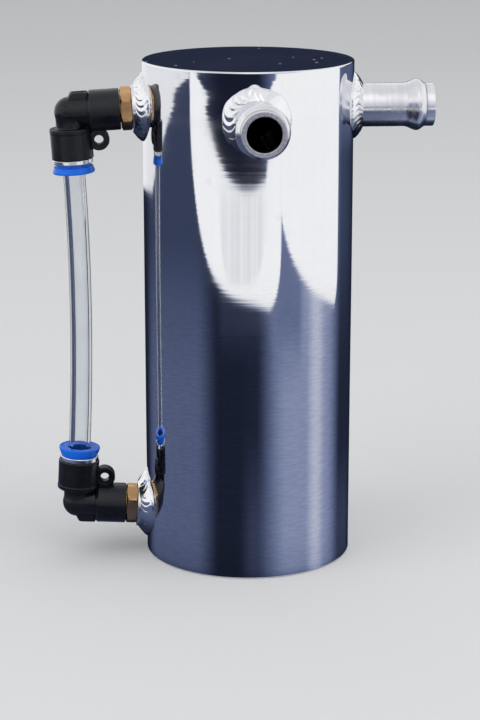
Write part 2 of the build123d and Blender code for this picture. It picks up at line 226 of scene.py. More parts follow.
def rounded(corners: Sequence[Corner], steps: int = 4) -> np.ndarray:
    """Outline whose corners are arcs that touch both of their sides.

    An arc's centre lies on the corner's bisector, at rounding / sin(half the opening) from the corner. Its
    points turn evenly from one touching point to the other, and a short flat run stands on either side.

    Args:
        corners: Radius, height and rounding of each corner, in order. A rounding of zero keeps the corner.
        steps: Chords in each arc.

    Returns:
        Radius and height of each point of the outline.
    """
    points = np.array([corner[:2] for corner in corners], dtype=float)
    share = np.linspace(0.0, 1.0, steps + 1)[:, None]
    runs = []
    for place, corner in enumerate(points):
        rounding = corners[place][2]
        if rounding <= 0:
            runs.append(corner[None])
            continue
        back = unit(points[place - 1] - corner)
        ahead = unit(points[(place + 1) % len(points)] - corner)
        opening = np.arccos(np.clip(back @ ahead, -1.0, 1.0))
        reach = rounding / np.tan(opening / 2)
        centre = corner + unit(back + ahead) * rounding / np.sin(opening / 2)
        sweep = np.pi - opening
        start = corner + back * reach - centre
        end = corner + ahead * reach - centre
        arc = centre + (np.sin((1 - share) * sweep) * start + np.sin(share * sweep) * end) / np.sin(sweep)
        first = corner + back * (reach + SUPPORT_RUN)
        last = corner + ahead * (reach + SUPPORT_RUN)
        runs.extend([first[None], arc, last[None]])
    return np.concatenate(runs)


def revolved(frame: Frame, profile: np.ndarray, closed: bool = True, steps: int = ROUND_STEPS) -> Grid:
    """Surface of turning: each point of a profile carried round the axis.

    Args:
        frame: Where the piece stands, with its axis as the axis of turning.
        profile: Radius and height of each row.
        closed: Whether the profile is a ring's section. Otherwise it runs from pole to pole.
        steps: Columns round the axis.

    Returns:
        The surface.
    """
    local = round_axis(profile[:, 0, None], turns(steps), profile[:, 1, None])
    return Grid(frame.place(local), rows_closed=closed, marks={"along": profile[:, 1] * MM})


def underside(frame: Frame, turn: np.ndarray) -> np.ndarray:
    """How far the side of a turned piece faces down: zero on top and level, one underneath."""
    down = -(np.cos(turn) * frame.across[2] + np.sin(turn) * frame.side[2])
    return smooth_step(*UNDER_SPAN, down)


def block(frame: Frame, half_across: float, half_side: float, loops: Sequence[Triple]) -> Grid:
    """Rounded block as a stack of rounded rectangles.

    A loop is the superellipse (|x| / a)^8 + (|y| / b)^8 = 1, drawn by its angle, at a height, with both
    half widths drawn in by the same amount and its far end cut back further. The first and last loops
    close at a point.

    Args:
        frame: Centre of the block's foot, with its axis towards the top.
        half_across: Half width across.
        half_side: Half width aside.
        loops: Height, draw-in and cut of the far end of each loop, from the foot to the top.

    Returns:
        The surface.
    """
    turn = turns(ROUND_STEPS)
    levels = np.array([loops[0], *loops, loops[-1]], dtype=float)
    size = np.ones(len(levels))
    size[[0, -1]] = 0.0
    end_cut = levels[:, 2]
    a = ((half_across - levels[:, 1] - end_cut / 2) * size)[:, None]
    b = ((half_side - levels[:, 1]) * size)[:, None]
    reach = np.abs(np.cos(turn)) ** BLOCK_POWER + np.abs(np.sin(turn)) ** BLOCK_POWER
    reach = reach ** (-1 / BLOCK_POWER)
    x = a * np.cos(turn) * reach - end_cut[:, None] / 2
    y = b * np.sin(turn) * reach
    local = np.stack(np.broadcast_arrays(x, y, levels[:, 0, None] + 0 * turn), axis=-1)
    return Grid(frame.place(local), rows_closed=False)


# Meshes and pieces


def clean_mesh(mesh: bpy.types.Mesh) -> None:
    """Merges a mesh's doubles, turns its faces outwards and shades it smooth between sharp edges."""
    work = bmesh.new()
    work.from_mesh(mesh)
    bmesh.ops.remove_doubles(work, verts=work.verts, dist=MERGE_DISTANCE)
    bmesh.ops.dissolve_degenerate(work, edges=work.edges, dist=MERGE_DISTANCE)
    bmesh.ops.recalc_face_normals(work, faces=work.faces)
    work.to_mesh(mesh)
    work.free()
    mesh.polygons.foreach_set("use_smooth", np.ones(len(mesh.polygons), dtype=bool))
    mesh.set_sharp_from_angle(angle=SHARP_ANGLE)
    mesh.update()


def make_mesh(name: str, grid: Grid) -> bpy.types.Mesh:
    """Puts a surface into a mesh, in metres.

    Args:
        name: Name of the mesh.
        grid: The surface.

    Returns:
        The clean mesh, with the surface's marks as attributes of its points.
    """
    points = grid.points.reshape(-1, 3) * MM
    faces = grid.faces()
    mesh = bpy.data.meshes.new(name)
    mesh.vertices.add(len(points))
    mesh.vertices.foreach_set("co", points.ravel())
    mesh.loops.add(faces.size)
    mesh.loops.foreach_set("vertex_index", faces.ravel())
    mesh.polygons.add(len(faces))
    mesh.polygons.foreach_set("loop_start", np.arange(0, faces.size, 4))
    mesh.update(calc_edges=True)
    for mark in sorted(grid.marks):
        mesh.attributes.new(mark, "FLOAT", "POINT").data.foreach_set("value", grid.mark(mark))
    clean_mesh(mesh)
    return mesh


def new_object(name: str, mesh: bpy.types.Mesh) -> bpy.types.Object:
    """Puts a mesh into the scene as an object at the origin."""
    made = bpy.data.objects.new(name, mesh)
    bpy.context.scene.collection.objects.link(made)
    return made


def make_piece(name: str, grid: Grid) -> bpy.types.Object:
    """Puts one surface into the scene as an object at the origin."""
    return new_object(name, make_mesh(name, grid))


def drill(
    frame: Frame, radius: float, half: float = DRILL_HALF, steps: int = ROUND_STEPS
) -> bpy.types.Mesh:
    """Closed cylinder about a frame's axis that cuts a hole, with half its length on either side."""
    outline = rounded([(0, -half, 0), (radius, -half, 0), (radius, half, 0), (0, half, 0)])
    return make_mesh("drill", revolved(frame, outline, closed=False, steps=steps))


def joined(base: bpy.types.Object, others: Sequence[bpy.types.Mesh], operation: str) -> None:
    """Unites shells with a base, or cuts them out of it, and leaves one closed mesh.

    Args:
        base: Object whose mesh takes the result.
        others: Closed meshes, used up here.
        operation: UNION or DIFFERENCE.
    """
    helpers = [new_object("helper", mesh) for mesh in others]
    for helper in helpers:
        modifier = base.modifiers.new("join", "BOOLEAN")
        modifier.object = helper
        modifier.operation = operation
        modifier.solver = "EXACT"
    result = bpy.data.meshes.new_from_object(base.evaluated_get(bpy.context.evaluated_depsgraph_get()))
    result.name = base.data.name
    old = base.data
    base.modifiers.clear()
    base.data = result
    bpy.data.meshes.remove(old)
    for helper in helpers:
        mesh = helper.data
        bpy.data.objects.remove(helper)
        bpy.data.meshes.remove(mesh)
    clean_mesh(result)


def dress(piece: bpy.types.Object, finish: "Finish", node: str, body: Body = Body.CAN) -> None:
    """Gives a piece its finish and its place on a body, and hides the CAD node that it stands for.

    Args:
        piece: The object.
        finish: Its finish.
        node: CAD node that the piece replaces.
        body: Body that the piece rides on.
    """
    piece.data.materials.clear()
    piece.data.materials.append(finish.material())
    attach(piece, body.value)
    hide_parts(node)
    log.info("%s: %d faces", piece.name, len(piece.data.polygons))


def merged_copy(node: bpy.types.Object, name: str, bevel: float) -> bpy.types.Object:
    """Copy of a CAD node with its loose triangles merged, its flats made whole and its edges broken.

    Args:
        node: The CAD node's object.
        name: Name of the new piece.
        bevel: Width of the broken edges, in millimetres.

    Returns:
        The new piece.
    """
    mesh = node.data.copy()
    mesh.name = name
    work = bmesh.new()
    work.from_mesh(mesh)
    bmesh.ops.remove_doubles(work, verts=work.verts, dist=MERGE_DISTANCE)
    bmesh.ops.dissolve_limit(work, angle_limit=FLAT_ANGLE, verts=work.verts, edges=work.edges)
    work.to_mesh(mesh)
    work.free()
    clean_mesh(mesh)
    piece = new_object(name, mesh)
    edges = piece.modifiers.new("broken_edges", "BEVEL")
    edges.width = bevel * MM
    edges.segments = BEVEL_SEGMENTS
    edges.limit_method = "ANGLE"
    edges.angle_limit = SHARP_ANGLE
    edges.harden_normals = True
    return piece


# Finishes

# Near-black colour of painted shade (under welds and barbs, in creases and bores) and of the oil film on
# the can's lining
DARK_SHADE_AND_OIL: Colour = (0.012, 0.012, 0.014)
SAWN: Colour = (0.57, 0.56, 0.63)
SAWN_DARK: Colour = (0.40, 0.39, 0.45)
MOTTLE = 1500.0  # mottles of a sawn end in a metre
MOTTLE_SPAN = (0.35, 0.65)  # noise between which the mottles turn dark
CUT_ROUGHNESS = 0.42
FINE_OCTAVES = 2.0
BAND_OCTAVES = 3.0
CLOUD_OCTAVES = 5.0
BAND_SCALE = 1 / 7  # scale of the broad bands of grain against the fine lines
BAND_SPAN = (0.3, 0.7)  # noise between which a band turns dark
SMUDGE_SPAN = (0.42, 0.68)  # noise between which a smudge comes in
SPECK_SPAN = (0.10, 0.24)  # distances from a cell's middle between which a speck ends
SPECK_STEP = 0.01  # rise of a cell's random value over which its speck comes in
BRUSH_SPAN = (0.36, 0.64)  # noise between which a line of brushing comes in
BRUSHED_SPAN = (0.088, 0.116)  # heights in metres between which brushing gives way to mirror polish
BRUSHING = (260.0, 260.0, 1500.0)  # lines of brushing in a metre along X, Y and Z


class Wiring:
    """Adds and joins the nodes of one node tree."""

    def __init__(self, tree: bpy.types.NodeTree) -> None:
        """Keeps the tree that the nodes go into."""
        self.tree = tree

    def node(self, kind: str, values: Optional[dict] = None, **settings: object) -> bpy.types.Node:
        """Adds a node.

        Args:
            kind: Type of the node.
            values: Input sockets by name or number, each with a value or with the socket that feeds it.
            settings: The node's own properties.

        Returns:
            The new node.
        """
        made = self.tree.nodes.new(kind)
        for name, value in settings.items():
            setattr(made, name, value)
        for name, value in (values or {}).items():
            if isinstance(value, bpy.types.NodeSocket):
                self.tree.links.new(value, made.inputs[name])
            else:
                made.inputs[name].default_value = value
        return made

    def noise(self, vector: bpy.types.NodeSocket, scale: float, detail: float) -> bpy.types.NodeSocket:
        """Noise between zero and one at a scale and with a number of octaves."""
        values = {"Vector": vector, "Scale": scale, "Detail": detail}
        return self.node("ShaderNodeTexNoise", values).outputs["Fac"]

    def spread(
        self, value: bpy.types.NodeSocket, source: tuple[object, object], target: tuple[object, object]
    ) -> bpy.types.NodeSocket:
        """Carries a value smoothly from one range to another.

        Args:
            value: The socket to read.
            source: Range of the value, as numbers or sockets.
            target: Range of the result, likewise.

        Returns:
            The socket of the result.
        """
        values = {"Value": value, "From Min": source[0], "From Max": source[1]}
        values.update({"To Min": target[0], "To Max": target[1]})
        return self.node("ShaderNodeMapRange", values, interpolation_type="SMOOTHSTEP").outputs["Result"]

    def mixed(self, share: bpy.types.NodeSocket, first: object, second: object) -> bpy.types.NodeSocket:
        """Colour between two colours or colour sockets, by a share from zero to one."""
        mix = self.node("ShaderNodeMix", {0: share, 6: first, 7: second}, data_type="RGBA")
        return mix.outputs[2]

    def bump(self, height: bpy.types.NodeSocket, depth: float) -> bpy.types.NodeSocket:
        """Normal that follows a height between zero and one, with its depth in metres."""
        values = {"Height": height, "Strength": 1.0, "Distance": depth}
        return self.node("ShaderNodeBump", values).outputs["Normal"]


def shared_group(name: str, inputs: Sequence[tuple[str, str]], outputs: Sequence[str]) -> Optional[Wiring]:
    """Starts a shader node group, unless it exists.

    Args:
        name: Name of the group.
        inputs: Name and socket type of each input.
        outputs: Names of the outputs, all values.

    Returns:
        The wiring of the new group, or None where the group was there already.
    """
    if name in bpy.data.node_groups:
        return None
    tree = bpy.data.node_groups.new(name, "ShaderNodeTree")
    for label, kind in inputs:
        tree.interface.new_socket(label, in_out="INPUT", socket_type=kind)
    for label in outputs:
        tree.interface.new_socket(label, in_out="OUTPUT", socket_type="NodeSocketFloat")
    return Wiring(tree)


def grain_group() -> bpy.types.NodeTree:
    """Group that draws a finish's grain: fine lines as Height, and broad bands of them as Shade.

    Height is noise on the vector as it comes, already stretched along the lines. Shade is noise at a
    seventh of that scale, sharpened towards zero and one.

    Returns:
        The group.
    """
    wiring = shared_group("grain", [("Vector", "NodeSocketVector")], ["Height", "Shade"])
    if wiring:
        vector = wiring.node("NodeGroupInput").outputs["Vector"]
        fine = wiring.noise(vector, 1.0, FINE_OCTAVES)
        broad = wiring.noise(vector, BAND_SCALE, BAND_OCTAVES)
        shade = wiring.spread(broad, BAND_SPAN, (0.0, 1.0))
        wiring.node("NodeGroupOutput", {"Height": fine, "Shade": shade})
    return bpy.data.node_groups["grain"]


def handling_group() -> bpy.types.NodeTree:
    """Group that draws handling: cloudy smudges as Smudge, and scattered small pits or dust as Speck.

    Smudge is noise sharpened about its middle. Speck is one near the middle of some of the cells of a
    Voronoi pattern, those whose own random value is high.

    Returns:
        The group.
    """
    inputs = [("Vector", "NodeSocketVector"), ("Smudge Scale", "NodeSocketFloat")]
    inputs += [("Speck Scale", "NodeSocketFloat"), ("Speck Rarity", "NodeSocketFloat")]
    wiring = shared_group("handling", inputs, ["Smudge", "Speck"])
    if wiring:
        sockets = wiring.node("NodeGroupInput").outputs
        cloud = wiring.noise(sockets["Vector"], sockets["Smudge Scale"], CLOUD_OCTAVES)
        smudge = wiring.spread(cloud, SMUDGE_SPAN, (0.0, 1.0))
        cell_values = {"Vector": sockets["Vector"], "Scale": sockets["Speck Scale"]}
        cells = wiring.node("ShaderNodeTexVoronoi", cell_values)
        near = wiring.spread(cells.outputs["Distance"], SPECK_SPAN, (1.0, 0.0))
        chosen = wiring.node("ShaderNodeSeparateColor", {"Color": cells.outputs["Color"]}).outputs["Red"]
        rarity = sockets["Speck Rarity"]
        above = wiring.node("ShaderNodeMath", {0: rarity, 1: SPECK_STEP}, operation="ADD").outputs[0]
        rare = wiring.spread(chosen, (rarity, above), (0.0, 1.0))
        speck = wiring.node("ShaderNodeMath", {0: near, 1: rare}, operation="MULTIPLY").outputs[0]
        wiring.node("NodeGroupOutput", {"Smudge": smudge, "Speck": speck})
    return bpy.data.node_groups["handling"]


@dataclass(frozen=True)
class Finish:
    """A procedural finish: a colour and a roughness that vary with grain, smudges and specks.

    Attributes:
        name: Name of the material.
        bright: Colour of the clean surface.
        dull: Colour where it is smudged or its grain lies dark.
        roughness: Least and greatest roughness.
        grain: Lines of grain in a metre along X, Y and Z, or the same three along a turned piece.
        depth: Depth of the grain in metres.
        smudges: Smudges in a metre.
        specks: Specks in a metre.
        speck_colour: Colour of the specks.
        metallic: One for bare metal, zero for plastic.
        source: What the grain follows.
        transmission: One for a clear piece.
        ior: Index of refraction.
        shade_oil_and_cut: Whether the piece has marks for painted shade and oil, and for a cut end.
        rarity: Share of the specks' places that stay clean.
        dusty: Whether the specks are dust, which isn't metal.
        brushed: Share by which fine brushing darkens the part below the mirror polish.
    """

    name: str
    bright: Colour
    dull: Colour
    roughness: tuple[float, float]
    grain: Triple
    depth: float
    smudges: float
    specks: float
    speck_colour: Colour
    metallic: float = 1.0
    source: GrainSource = GrainSource.OBJECT
    transmission: float = 0.0
    ior: float = 1.5
    shade_oil_and_cut: bool = False
    rarity: float = 0.8
    dusty: bool = False
    brushed: float = 0.0

    def material(self) -> bpy.types.Material:
        """The finish as a material, made once.

        Returns:
            The material.
        """
        label = f"{self.name}_finish"
        if label in bpy.data.materials:
            return bpy.data.materials[label]
        made = bpy.data.materials.new(label)
        made.use_nodes = True
        made.node_tree.nodes.clear()
        wiring = Wiring(made.node_tree)
        place = wiring.node("ShaderNodeTexCoord").outputs["Object"]
        grain = self.grain_node(wiring, place)
        handling = wiring.node(
            "ShaderNodeGroup",
            {
                "Vector": place,
                "Smudge Scale": self.smudges,
                "Speck Scale": self.specks,
                "Speck Rarity": self.rarity,
            },
            node_tree=handling_group(),
        )
        smudge = handling.outputs["Smudge"]
        speck = handling.outputs["Speck"]
        both = wiring.node("ShaderNodeMath", {0: grain.outputs["Shade"], 1: smudge}, operation="ADD")
        worn = wiring.spread(both.outputs[0], (0.0, 2.0), (0.0, 1.0))
        surface = wiring.mixed(worn, (*self.bright, 1.0), (*self.dull, 1.0))
        colour = wiring.mixed(speck, surface, (*self.speck_colour, 1.0))
        roughness = wiring.spread(worn, (0.0, 1.0), self.roughness)
        if self.brushed:
            height = wiring.node("ShaderNodeSeparateXYZ", {"Vector": place}).outputs["Z"]
            low = wiring.spread(height, BRUSHED_SPAN, (self.brushed, 0.0))
            stretched = wiring.node("ShaderNodeMapping", {"Vector": place, "Scale": BRUSHING})
            fine = wiring.noise(stretched.outputs["Vector"], 1.0, FINE_OCTAVES)
            share = wiring.spread(fine, BRUSH_SPAN, (0.0, low))
            colour = wiring.mixed(share, colour, (0.0, 0.0, 0.0, 1.0))
        if self.shade_oil_and_cut:
            # Painted shade on undersides, in creases and in bores, and the oil film on the can's lining,
            # darken the colour towards black
            soot = wiring.node("ShaderNodeAttribute", attribute_name="soot").outputs["Fac"]
            colour = wiring.mixed(soot, colour, (*DARK_SHADE_AND_OIL, 1.0))
            sawn = wiring.node("ShaderNodeAttribute", attribute_name="cut").outputs["Fac"]
            mottle = wiring.spread(wiring.noise(place, MOTTLE, BAND_OCTAVES), MOTTLE_SPAN, (0.0, 1.0))
            end_grain = wiring.mixed(mottle, (*SAWN, 1.0), (*SAWN_DARK, 1.0))
            colour = wiring.mixed(sawn, colour, end_grain)
            roughness = wiring.spread(sawn, (0.0, 1.0), (roughness, CUT_ROUGHNESS))
        metallic = wiring.spread(speck, (0.0, 1.0), (self.metallic, 0.0)) if self.dusty else self.metallic
        values = {
            "Base Color": colour,
            "Metallic": metallic,
            "Roughness": roughness,
            "IOR": self.ior,
            "Transmission Weight": self.transmission,
            "Normal": wiring.bump(grain.outputs["Height"], self.depth),
        }
        shader = wiring.node("ShaderNodeBsdfPrincipled", values)
        wiring.node("ShaderNodeOutputMaterial", {"Surface": shader.outputs["BSDF"]})
        return made

    def grain_node(self, wiring: Wiring, place: bpy.types.NodeSocket) -> bpy.types.Node:
        """Adds the grain group on stretched coordinates.

        Args:
            wiring: Wiring of the material.
            place: Object coordinates.

        Returns:
            The group's node.
        """
        vector = place
        if self.source is GrainSource.ALONG:
            height = wiring.node("ShaderNodeAttribute", attribute_name="along").outputs["Fac"]
            vector = wiring.node("ShaderNodeCombineXYZ", {"Z": height}).outputs["Vector"]
        stretched = wiring.node("ShaderNodeMapping", {"Vector": vector, "Scale": self.grain})
        values = {"Vector": stretched.outputs["Vector"]}
        return wiring.node("ShaderNodeGroup", values, node_tree=grain_group())


POLISHED = Finish(
    name="polished_aluminium", bright=(0.85, 0.86, 0.885), dull=(0.83, 0.84, 0.866),
    roughness=(0.035, 0.07), grain=(10.0, 10.0, 1000.0), depth=2.6e-6, smudges=22.0, specks=120.0,
    speck_colour=(0.80, 0.81, 0.84), shade_oil_and_cut=True, brushed=0.11,
)
LID = Finish(
    name="polished_lid", bright=(0.82, 0.83, 0.86), dull=(0.68, 0.69, 0.73), roughness=(0.06, 0.09),
    grain=(900.0, 120.0, 120.0), depth=4e-7, smudges=45.0, specks=300.0,
    speck_colour=(0.95, 0.95, 0.95), rarity=0.95, dusty=True,
)
BEAD = Finish(
    name="weld_bead", bright=(0.91, 0.91, 0.93), dull=(0.80, 0.81, 0.84), roughness=(0.10, 0.22),
    grain=(700.0, 700.0, 700.0), depth=8e-6, smudges=180.0, specks=700.0,
    speck_colour=(0.68, 0.69, 0.72), shade_oil_and_cut=True,
)
TURNED = Finish(
    name="turned_aluminium", bright=(0.82, 0.82, 0.85), dull=(0.70, 0.70, 0.74), roughness=(0.20, 0.31),
    grain=(0.0, 0.0, 3600.0), depth=1.2e-6, smudges=110.0, specks=500.0,
    speck_colour=(0.66, 0.66, 0.70), source=GrainSource.ALONG, shade_oil_and_cut=True,
)
BRASS = Finish(
    name="brass", bright=(0.72, 0.44, 0.22), dull=(0.52, 0.30, 0.14), roughness=(0.20, 0.36),
    grain=(500.0, 500.0, 500.0), depth=3e-6, smudges=220.0, specks=900.0,
    speck_colour=(0.38, 0.21, 0.09),
)
BLACK = Finish(
    name="black_plastic", bright=(0.0055, 0.0060, 0.0095), dull=(0.0080, 0.0088, 0.0135),
    roughness=(0.25, 0.34), grain=(1200.0, 1200.0, 1200.0), depth=1.5e-6, smudges=90.0, specks=600.0,
    speck_colour=(0.013, 0.014, 0.020), metallic=0.0, ior=1.4,
)
BLUE = Finish(
    name="blue_plastic", bright=(0.0, 0.17, 0.88), dull=(0.0, 0.13, 0.74), roughness=(0.20, 0.30),
    grain=(900.0, 900.0, 900.0), depth=2e-6, smudges=160.0, specks=600.0,
    speck_colour=(0.01, 0.20, 0.90), metallic=0.0, ior=1.4,
)
PLATED = Finish(
    name="plated_ring", bright=(0.95, 0.95, 0.95), dull=(0.86, 0.86, 0.87), roughness=(0.16, 0.26),
    grain=(300.0, 300.0, 1200.0), depth=2e-6, smudges=200.0, specks=700.0,
    speck_colour=(0.78, 0.78, 0.80),
)
CLEAR = Finish(
    name="clear_tube", bright=(0.93, 0.945, 0.96), dull=(0.89, 0.91, 0.935), roughness=(0.01, 0.03),
    grain=(300.0, 300.0, 3.0), depth=4e-6, smudges=90.0, specks=500.0, speck_colour=(0.86, 0.88, 0.90),
    metallic=0.0, transmission=1.0, ior=1.46,
)
SHEET = Finish(
    name="brushed_sheet", bright=(0.78, 0.79, 0.81), dull=(0.62, 0.63, 0.66), roughness=(0.24, 0.40),
    grain=(25.0, 1900.0, 1900.0), depth=3e-6, smudges=60.0, specks=420.0,
    speck_colour=(0.50, 0.51, 0.53),
)
PLUG = Finish(
    name="zinc_plug", bright=(0.60, 0.61, 0.63), dull=(0.42, 0.43, 0.46), roughness=(0.26, 0.44),
    grain=(900.0, 900.0, 900.0), depth=5e-6, smudges=260.0, specks=700.0,
    speck_colour=(0.30, 0.30, 0.32),
)
SPRING = Finish(
    name="spring_steel", bright=(0.62, 0.62, 0.64), dull=(0.46, 0.46, 0.49), roughness=(0.20, 0.36),
    grain=(1500.0, 1500.0, 1500.0), depth=2e-6, smudges=400.0, specks=900.0,
    speck_colour=(0.34, 0.34, 0.36),
)
RUBBER = Finish(
    name="seal_rubber", bright=(0.013, 0.013, 0.014), dull=(0.028, 0.028, 0.030),
    roughness=(0.48, 0.66), grain=(1400.0, 1400.0, 1400.0), depth=6e-6, smudges=250.0, specks=900.0,
    speck_colour=(0.06, 0.06, 0.06), metallic=0.0,
)


# Sub-assemblies


@dataclass
class Can:
    """The welded can: a polished tube between two plates.

    Attributes:
        radius: Outer radius.
        wall: Thickness of the tube.
        height: Overall height.
        plate: Thickness of the plates.
        rim: Rounding of the plates' outer edges.
        port_inset: Distance of the ports' axes from the ends.
        lean: Angle in degrees that the gauge's ports lean towards each other.
        heat_dent: How far the wall draws in beside a weld.
        heat_reach: Spread of that dent.
        ripple: Height of the slow waves that polishing leaves.
        waves: Count round the can, height for a radian and shift of each wave.
        climb: Height for a radian of one more wave, which climbs the can.
        sway: How far that one sways round the can.
        wave_fade: Height over which dents and waves fade at the plates.
        barb_hole: Radius of the wall's holes for the barbs.
        bung_hole: Radius of the wall's holes for the bungs.
        drain_offset: Distance of the drain behind the axis.
        drain_hole: Radius of the base plate's hole for the drain boss.
        oil_film: Share of oil on the wall's lining.
        wall_grid: Columns round the wall, rows up its outside and rows down its inside.
        plate_grid: Columns round a plate, rings on the lid and chords in a rounding.
    """

    radius: float = 38.1
    wall: float = 2.0
    height: float = 184.0
    plate: float = 3.0
    rim: float = 0.5
    port_inset: float = 17.0
    lean: float = 3.2
    heat_dent: float = 0.10
    heat_reach: float = 15.0
    ripple: float = 0.03
    waves: tuple[Triple, ...] = ((3.0, 17.0, 0.6), (5.0, -29.0, 2.1))
    climb: float = 9.5
    sway: float = 1.7
    wave_fade: float = 9.0
    barb_hole: float = 7.9
    bung_hole: float = 8.55
    drain_offset: float = 20.0
    drain_hole: float = 9.05
    oil_film: float = 0.85
    wall_grid: tuple[int, int, int] = (640, 100, 5)
    plate_grid: tuple[int, int, int] = (288, 24, 6)

    @property
    def stand(self) -> Frame:
        """Frame of the can: origin under the base, axis upwards, zero turn at the front."""
        return Frame(np.zeros(3), np.array([0.0, -1.0, 0.0]), np.array([0.0, 0.0, 1.0]))

    @property
    def front_port(self) -> Frame:
        """Frame of the front barb."""
        origin = np.array([0.0, -self.radius, self.height - self.port_inset])
        return Frame(origin, np.array([1.0, 0.0, 0.0]), np.array([0.0, -1.0, 0.0]))

    @property
    def side_port(self) -> Frame:
        """Frame of the side barb."""
        origin = np.array([self.radius, 0.0, self.height - self.port_inset])
        return Frame(origin, np.array([0.0, 1.0, 0.0]), np.array([1.0, 0.0, 0.0]))

    def gauge_port(self, level: Level) -> Frame:
        """Frame of a gauge port, its axis leaning towards the other one.

        Args:
            level: Which of the two.

        Returns:
            The frame, with the elbow's leg as its direction across.
        """
        up = -1.0 if level is Level.UPPER else 1.0
        height = self.height - self.port_inset if level is Level.UPPER else self.port_inset
        lean = np.radians(self.lean)
        return Frame(
            np.array([-self.radius, 0.0, height]),
            np.array([np.sin(lean), 0.0, up * np.cos(lean)]),
            np.array([-np.cos(lean), 0.0, up * np.sin(lean)]),
        )

    def wall_height(self, port: Frame, radius: np.ndarray, turn: np.ndarray) -> np.ndarray:
        """Height over a port's origin at which the wall lies, at a distance from the port's axis.

        It is the root of |Q + h axis|^2 = R^2 in the plan view, with Q the point at that distance.

        Args:
            port: The port's frame.
            radius: Distances from its axis.
            turn: Angles round its axis.

        Returns:
            Heights along the port's axis.
        """
        foot = port.place(round_axis(radius, turn, 0.0))[..., :2]
        axis = port.axis[:2]
        a = axis @ axis
        b = foot @ axis
        c = (foot * foot).sum(axis=-1) - self.radius**2
        return (-b + np.sqrt(b * b - a * c)) / a

    def wall_radius(self, turn: np.ndarray, height: np.ndarray) -> np.ndarray:
        """Outer radius of the wall: the tube's, less dents beside the welds and slow polishing waves.

        Each dent is a bell curve of the distance along the wall from a port. The waves are products of
        sines round and up the can. Both fade to nothing at the plates.

        Args:
            turn: Angles from the front towards the side barb.
            height: Heights above the base.

        Returns:
            Radii in millimetres.
        """
        low, high = self.port_inset, self.height - self.port_inset
        ports = ((0.0, high), (np.pi / 2, high), (-np.pi / 2, high), (-np.pi / 2, low))
        dent = 0.0
        for middle, level in ports:
            away = np.angle(np.exp(1j * (turn - middle))) * self.radius
            dent = dent + np.exp(-(away**2 + (height - level) ** 2) / (2 * self.heat_reach**2))
        waves = 0.0
        for count, length, shift in self.waves:
            waves = waves + np.sin(count * turn + height / length + shift)
        waves = waves + np.sin(height / self.climb + self.sway * np.sin(2 * turn))
        mean = waves / (len(self.waves) + 1)
        fade_end = self.plate + self.wave_fade
        ends = smooth_step(self.plate, fade_end, height)
        ends = ends * smooth_step(self.plate, fade_end, self.height - height)
        return self.radius - ends * (self.heat_dent * dent + self.ripple * (1 + mean))

    def build_wall(self) -> None:
        """Builds the tube: an outer and an inner skin joined at the ends, holed at the four ports."""
        columns, outer_rows, inner_rows = self.wall_grid
        turn = turns(columns)
        outer = np.linspace(self.plate, self.height - self.plate, outer_rows)[:, None]
        inner = np.linspace(self.height - self.plate, self.plate, inner_rows)[:, None]
        skin = self.wall_radius(turn, outer)
        lining = (self.radius - self.wall) * np.ones((len(inner), turn.size))
        radius = np.concatenate([skin, lining])
        local = round_axis(radius, turn, np.concatenate([outer, inner]))
        soot = np.repeat([0.0, self.oil_film], [len(outer), len(inner)])
        piece = make_piece("can_wall", Grid(self.stand.place(local), marks={"soot": soot}))
        ports = [(self.front_port, self.barb_hole), (self.side_port, self.barb_hole)]
        ports += [(self.gauge_port(level), self.bung_hole) for level in Level]
        joined(piece, [drill(port, hole) for port, hole in ports], "DIFFERENCE")
        dress(piece, POLISHED, "can_tube")

    def build_plates(self) -> None:
        """Builds the two plates as turned discs, with the drain's hole in the lower one."""
        shares = np.linspace(0, 1, self.plate_grid[1])
        rings = [(share * (self.radius - 2 * self.rim), self.height, 0) for share in shares]
        under_lid = self.height - self.plate
        top = [*rings, (self.radius, self.height, self.rim), (self.radius, under_lid, 0), (0, under_lid, 0)]
        lid = self.plate_piece("top_lid", top)
        dress(lid, LID, "top_plate")
        self.polish_side(lid)
        base = [(0, 0, 0), (self.radius, 0, self.rim), (self.radius, self.plate, 0), (0, self.plate, 0)]
        foot = self.plate_piece("base_plate", base)
        drain = Frame(np.array([0.0, self.drain_offset, 0.0]), self.stand.across, self.stand.axis)
        joined(foot, [drill(drain, self.drain_hole)], "DIFFERENCE")
        dress(foot, LID, "bottom_plate")
        self.polish_side(foot)

    def plate_piece(self, name: str, corners: Sequence[Corner]) -> bpy.types.Object:
        """Turned disc from the corners of its section, given from pole to pole."""
        outline = rounded(corners, steps=self.plate_grid[2])
        return make_piece(name, revolved(self.stand, outline, closed=False, steps=self.plate_grid[0]))

    def polish_side(self, plate: bpy.types.Object) -> None:
        """Gives a plate's outer side the wall's finish, since both were polished together.

        Args:
            plate: The plate.
        """
        mesh = plate.data
        normals = np.empty(3 * len(mesh.polygons), dtype=np.float32)
        mesh.polygons.foreach_get("normal", normals)
        side = np.abs(normals[2::3]) < SIDE_SLOPE
        mesh.materials.append(POLISHED.material())
        mesh.polygons.foreach_set("material_index", side.astype(np.int32))


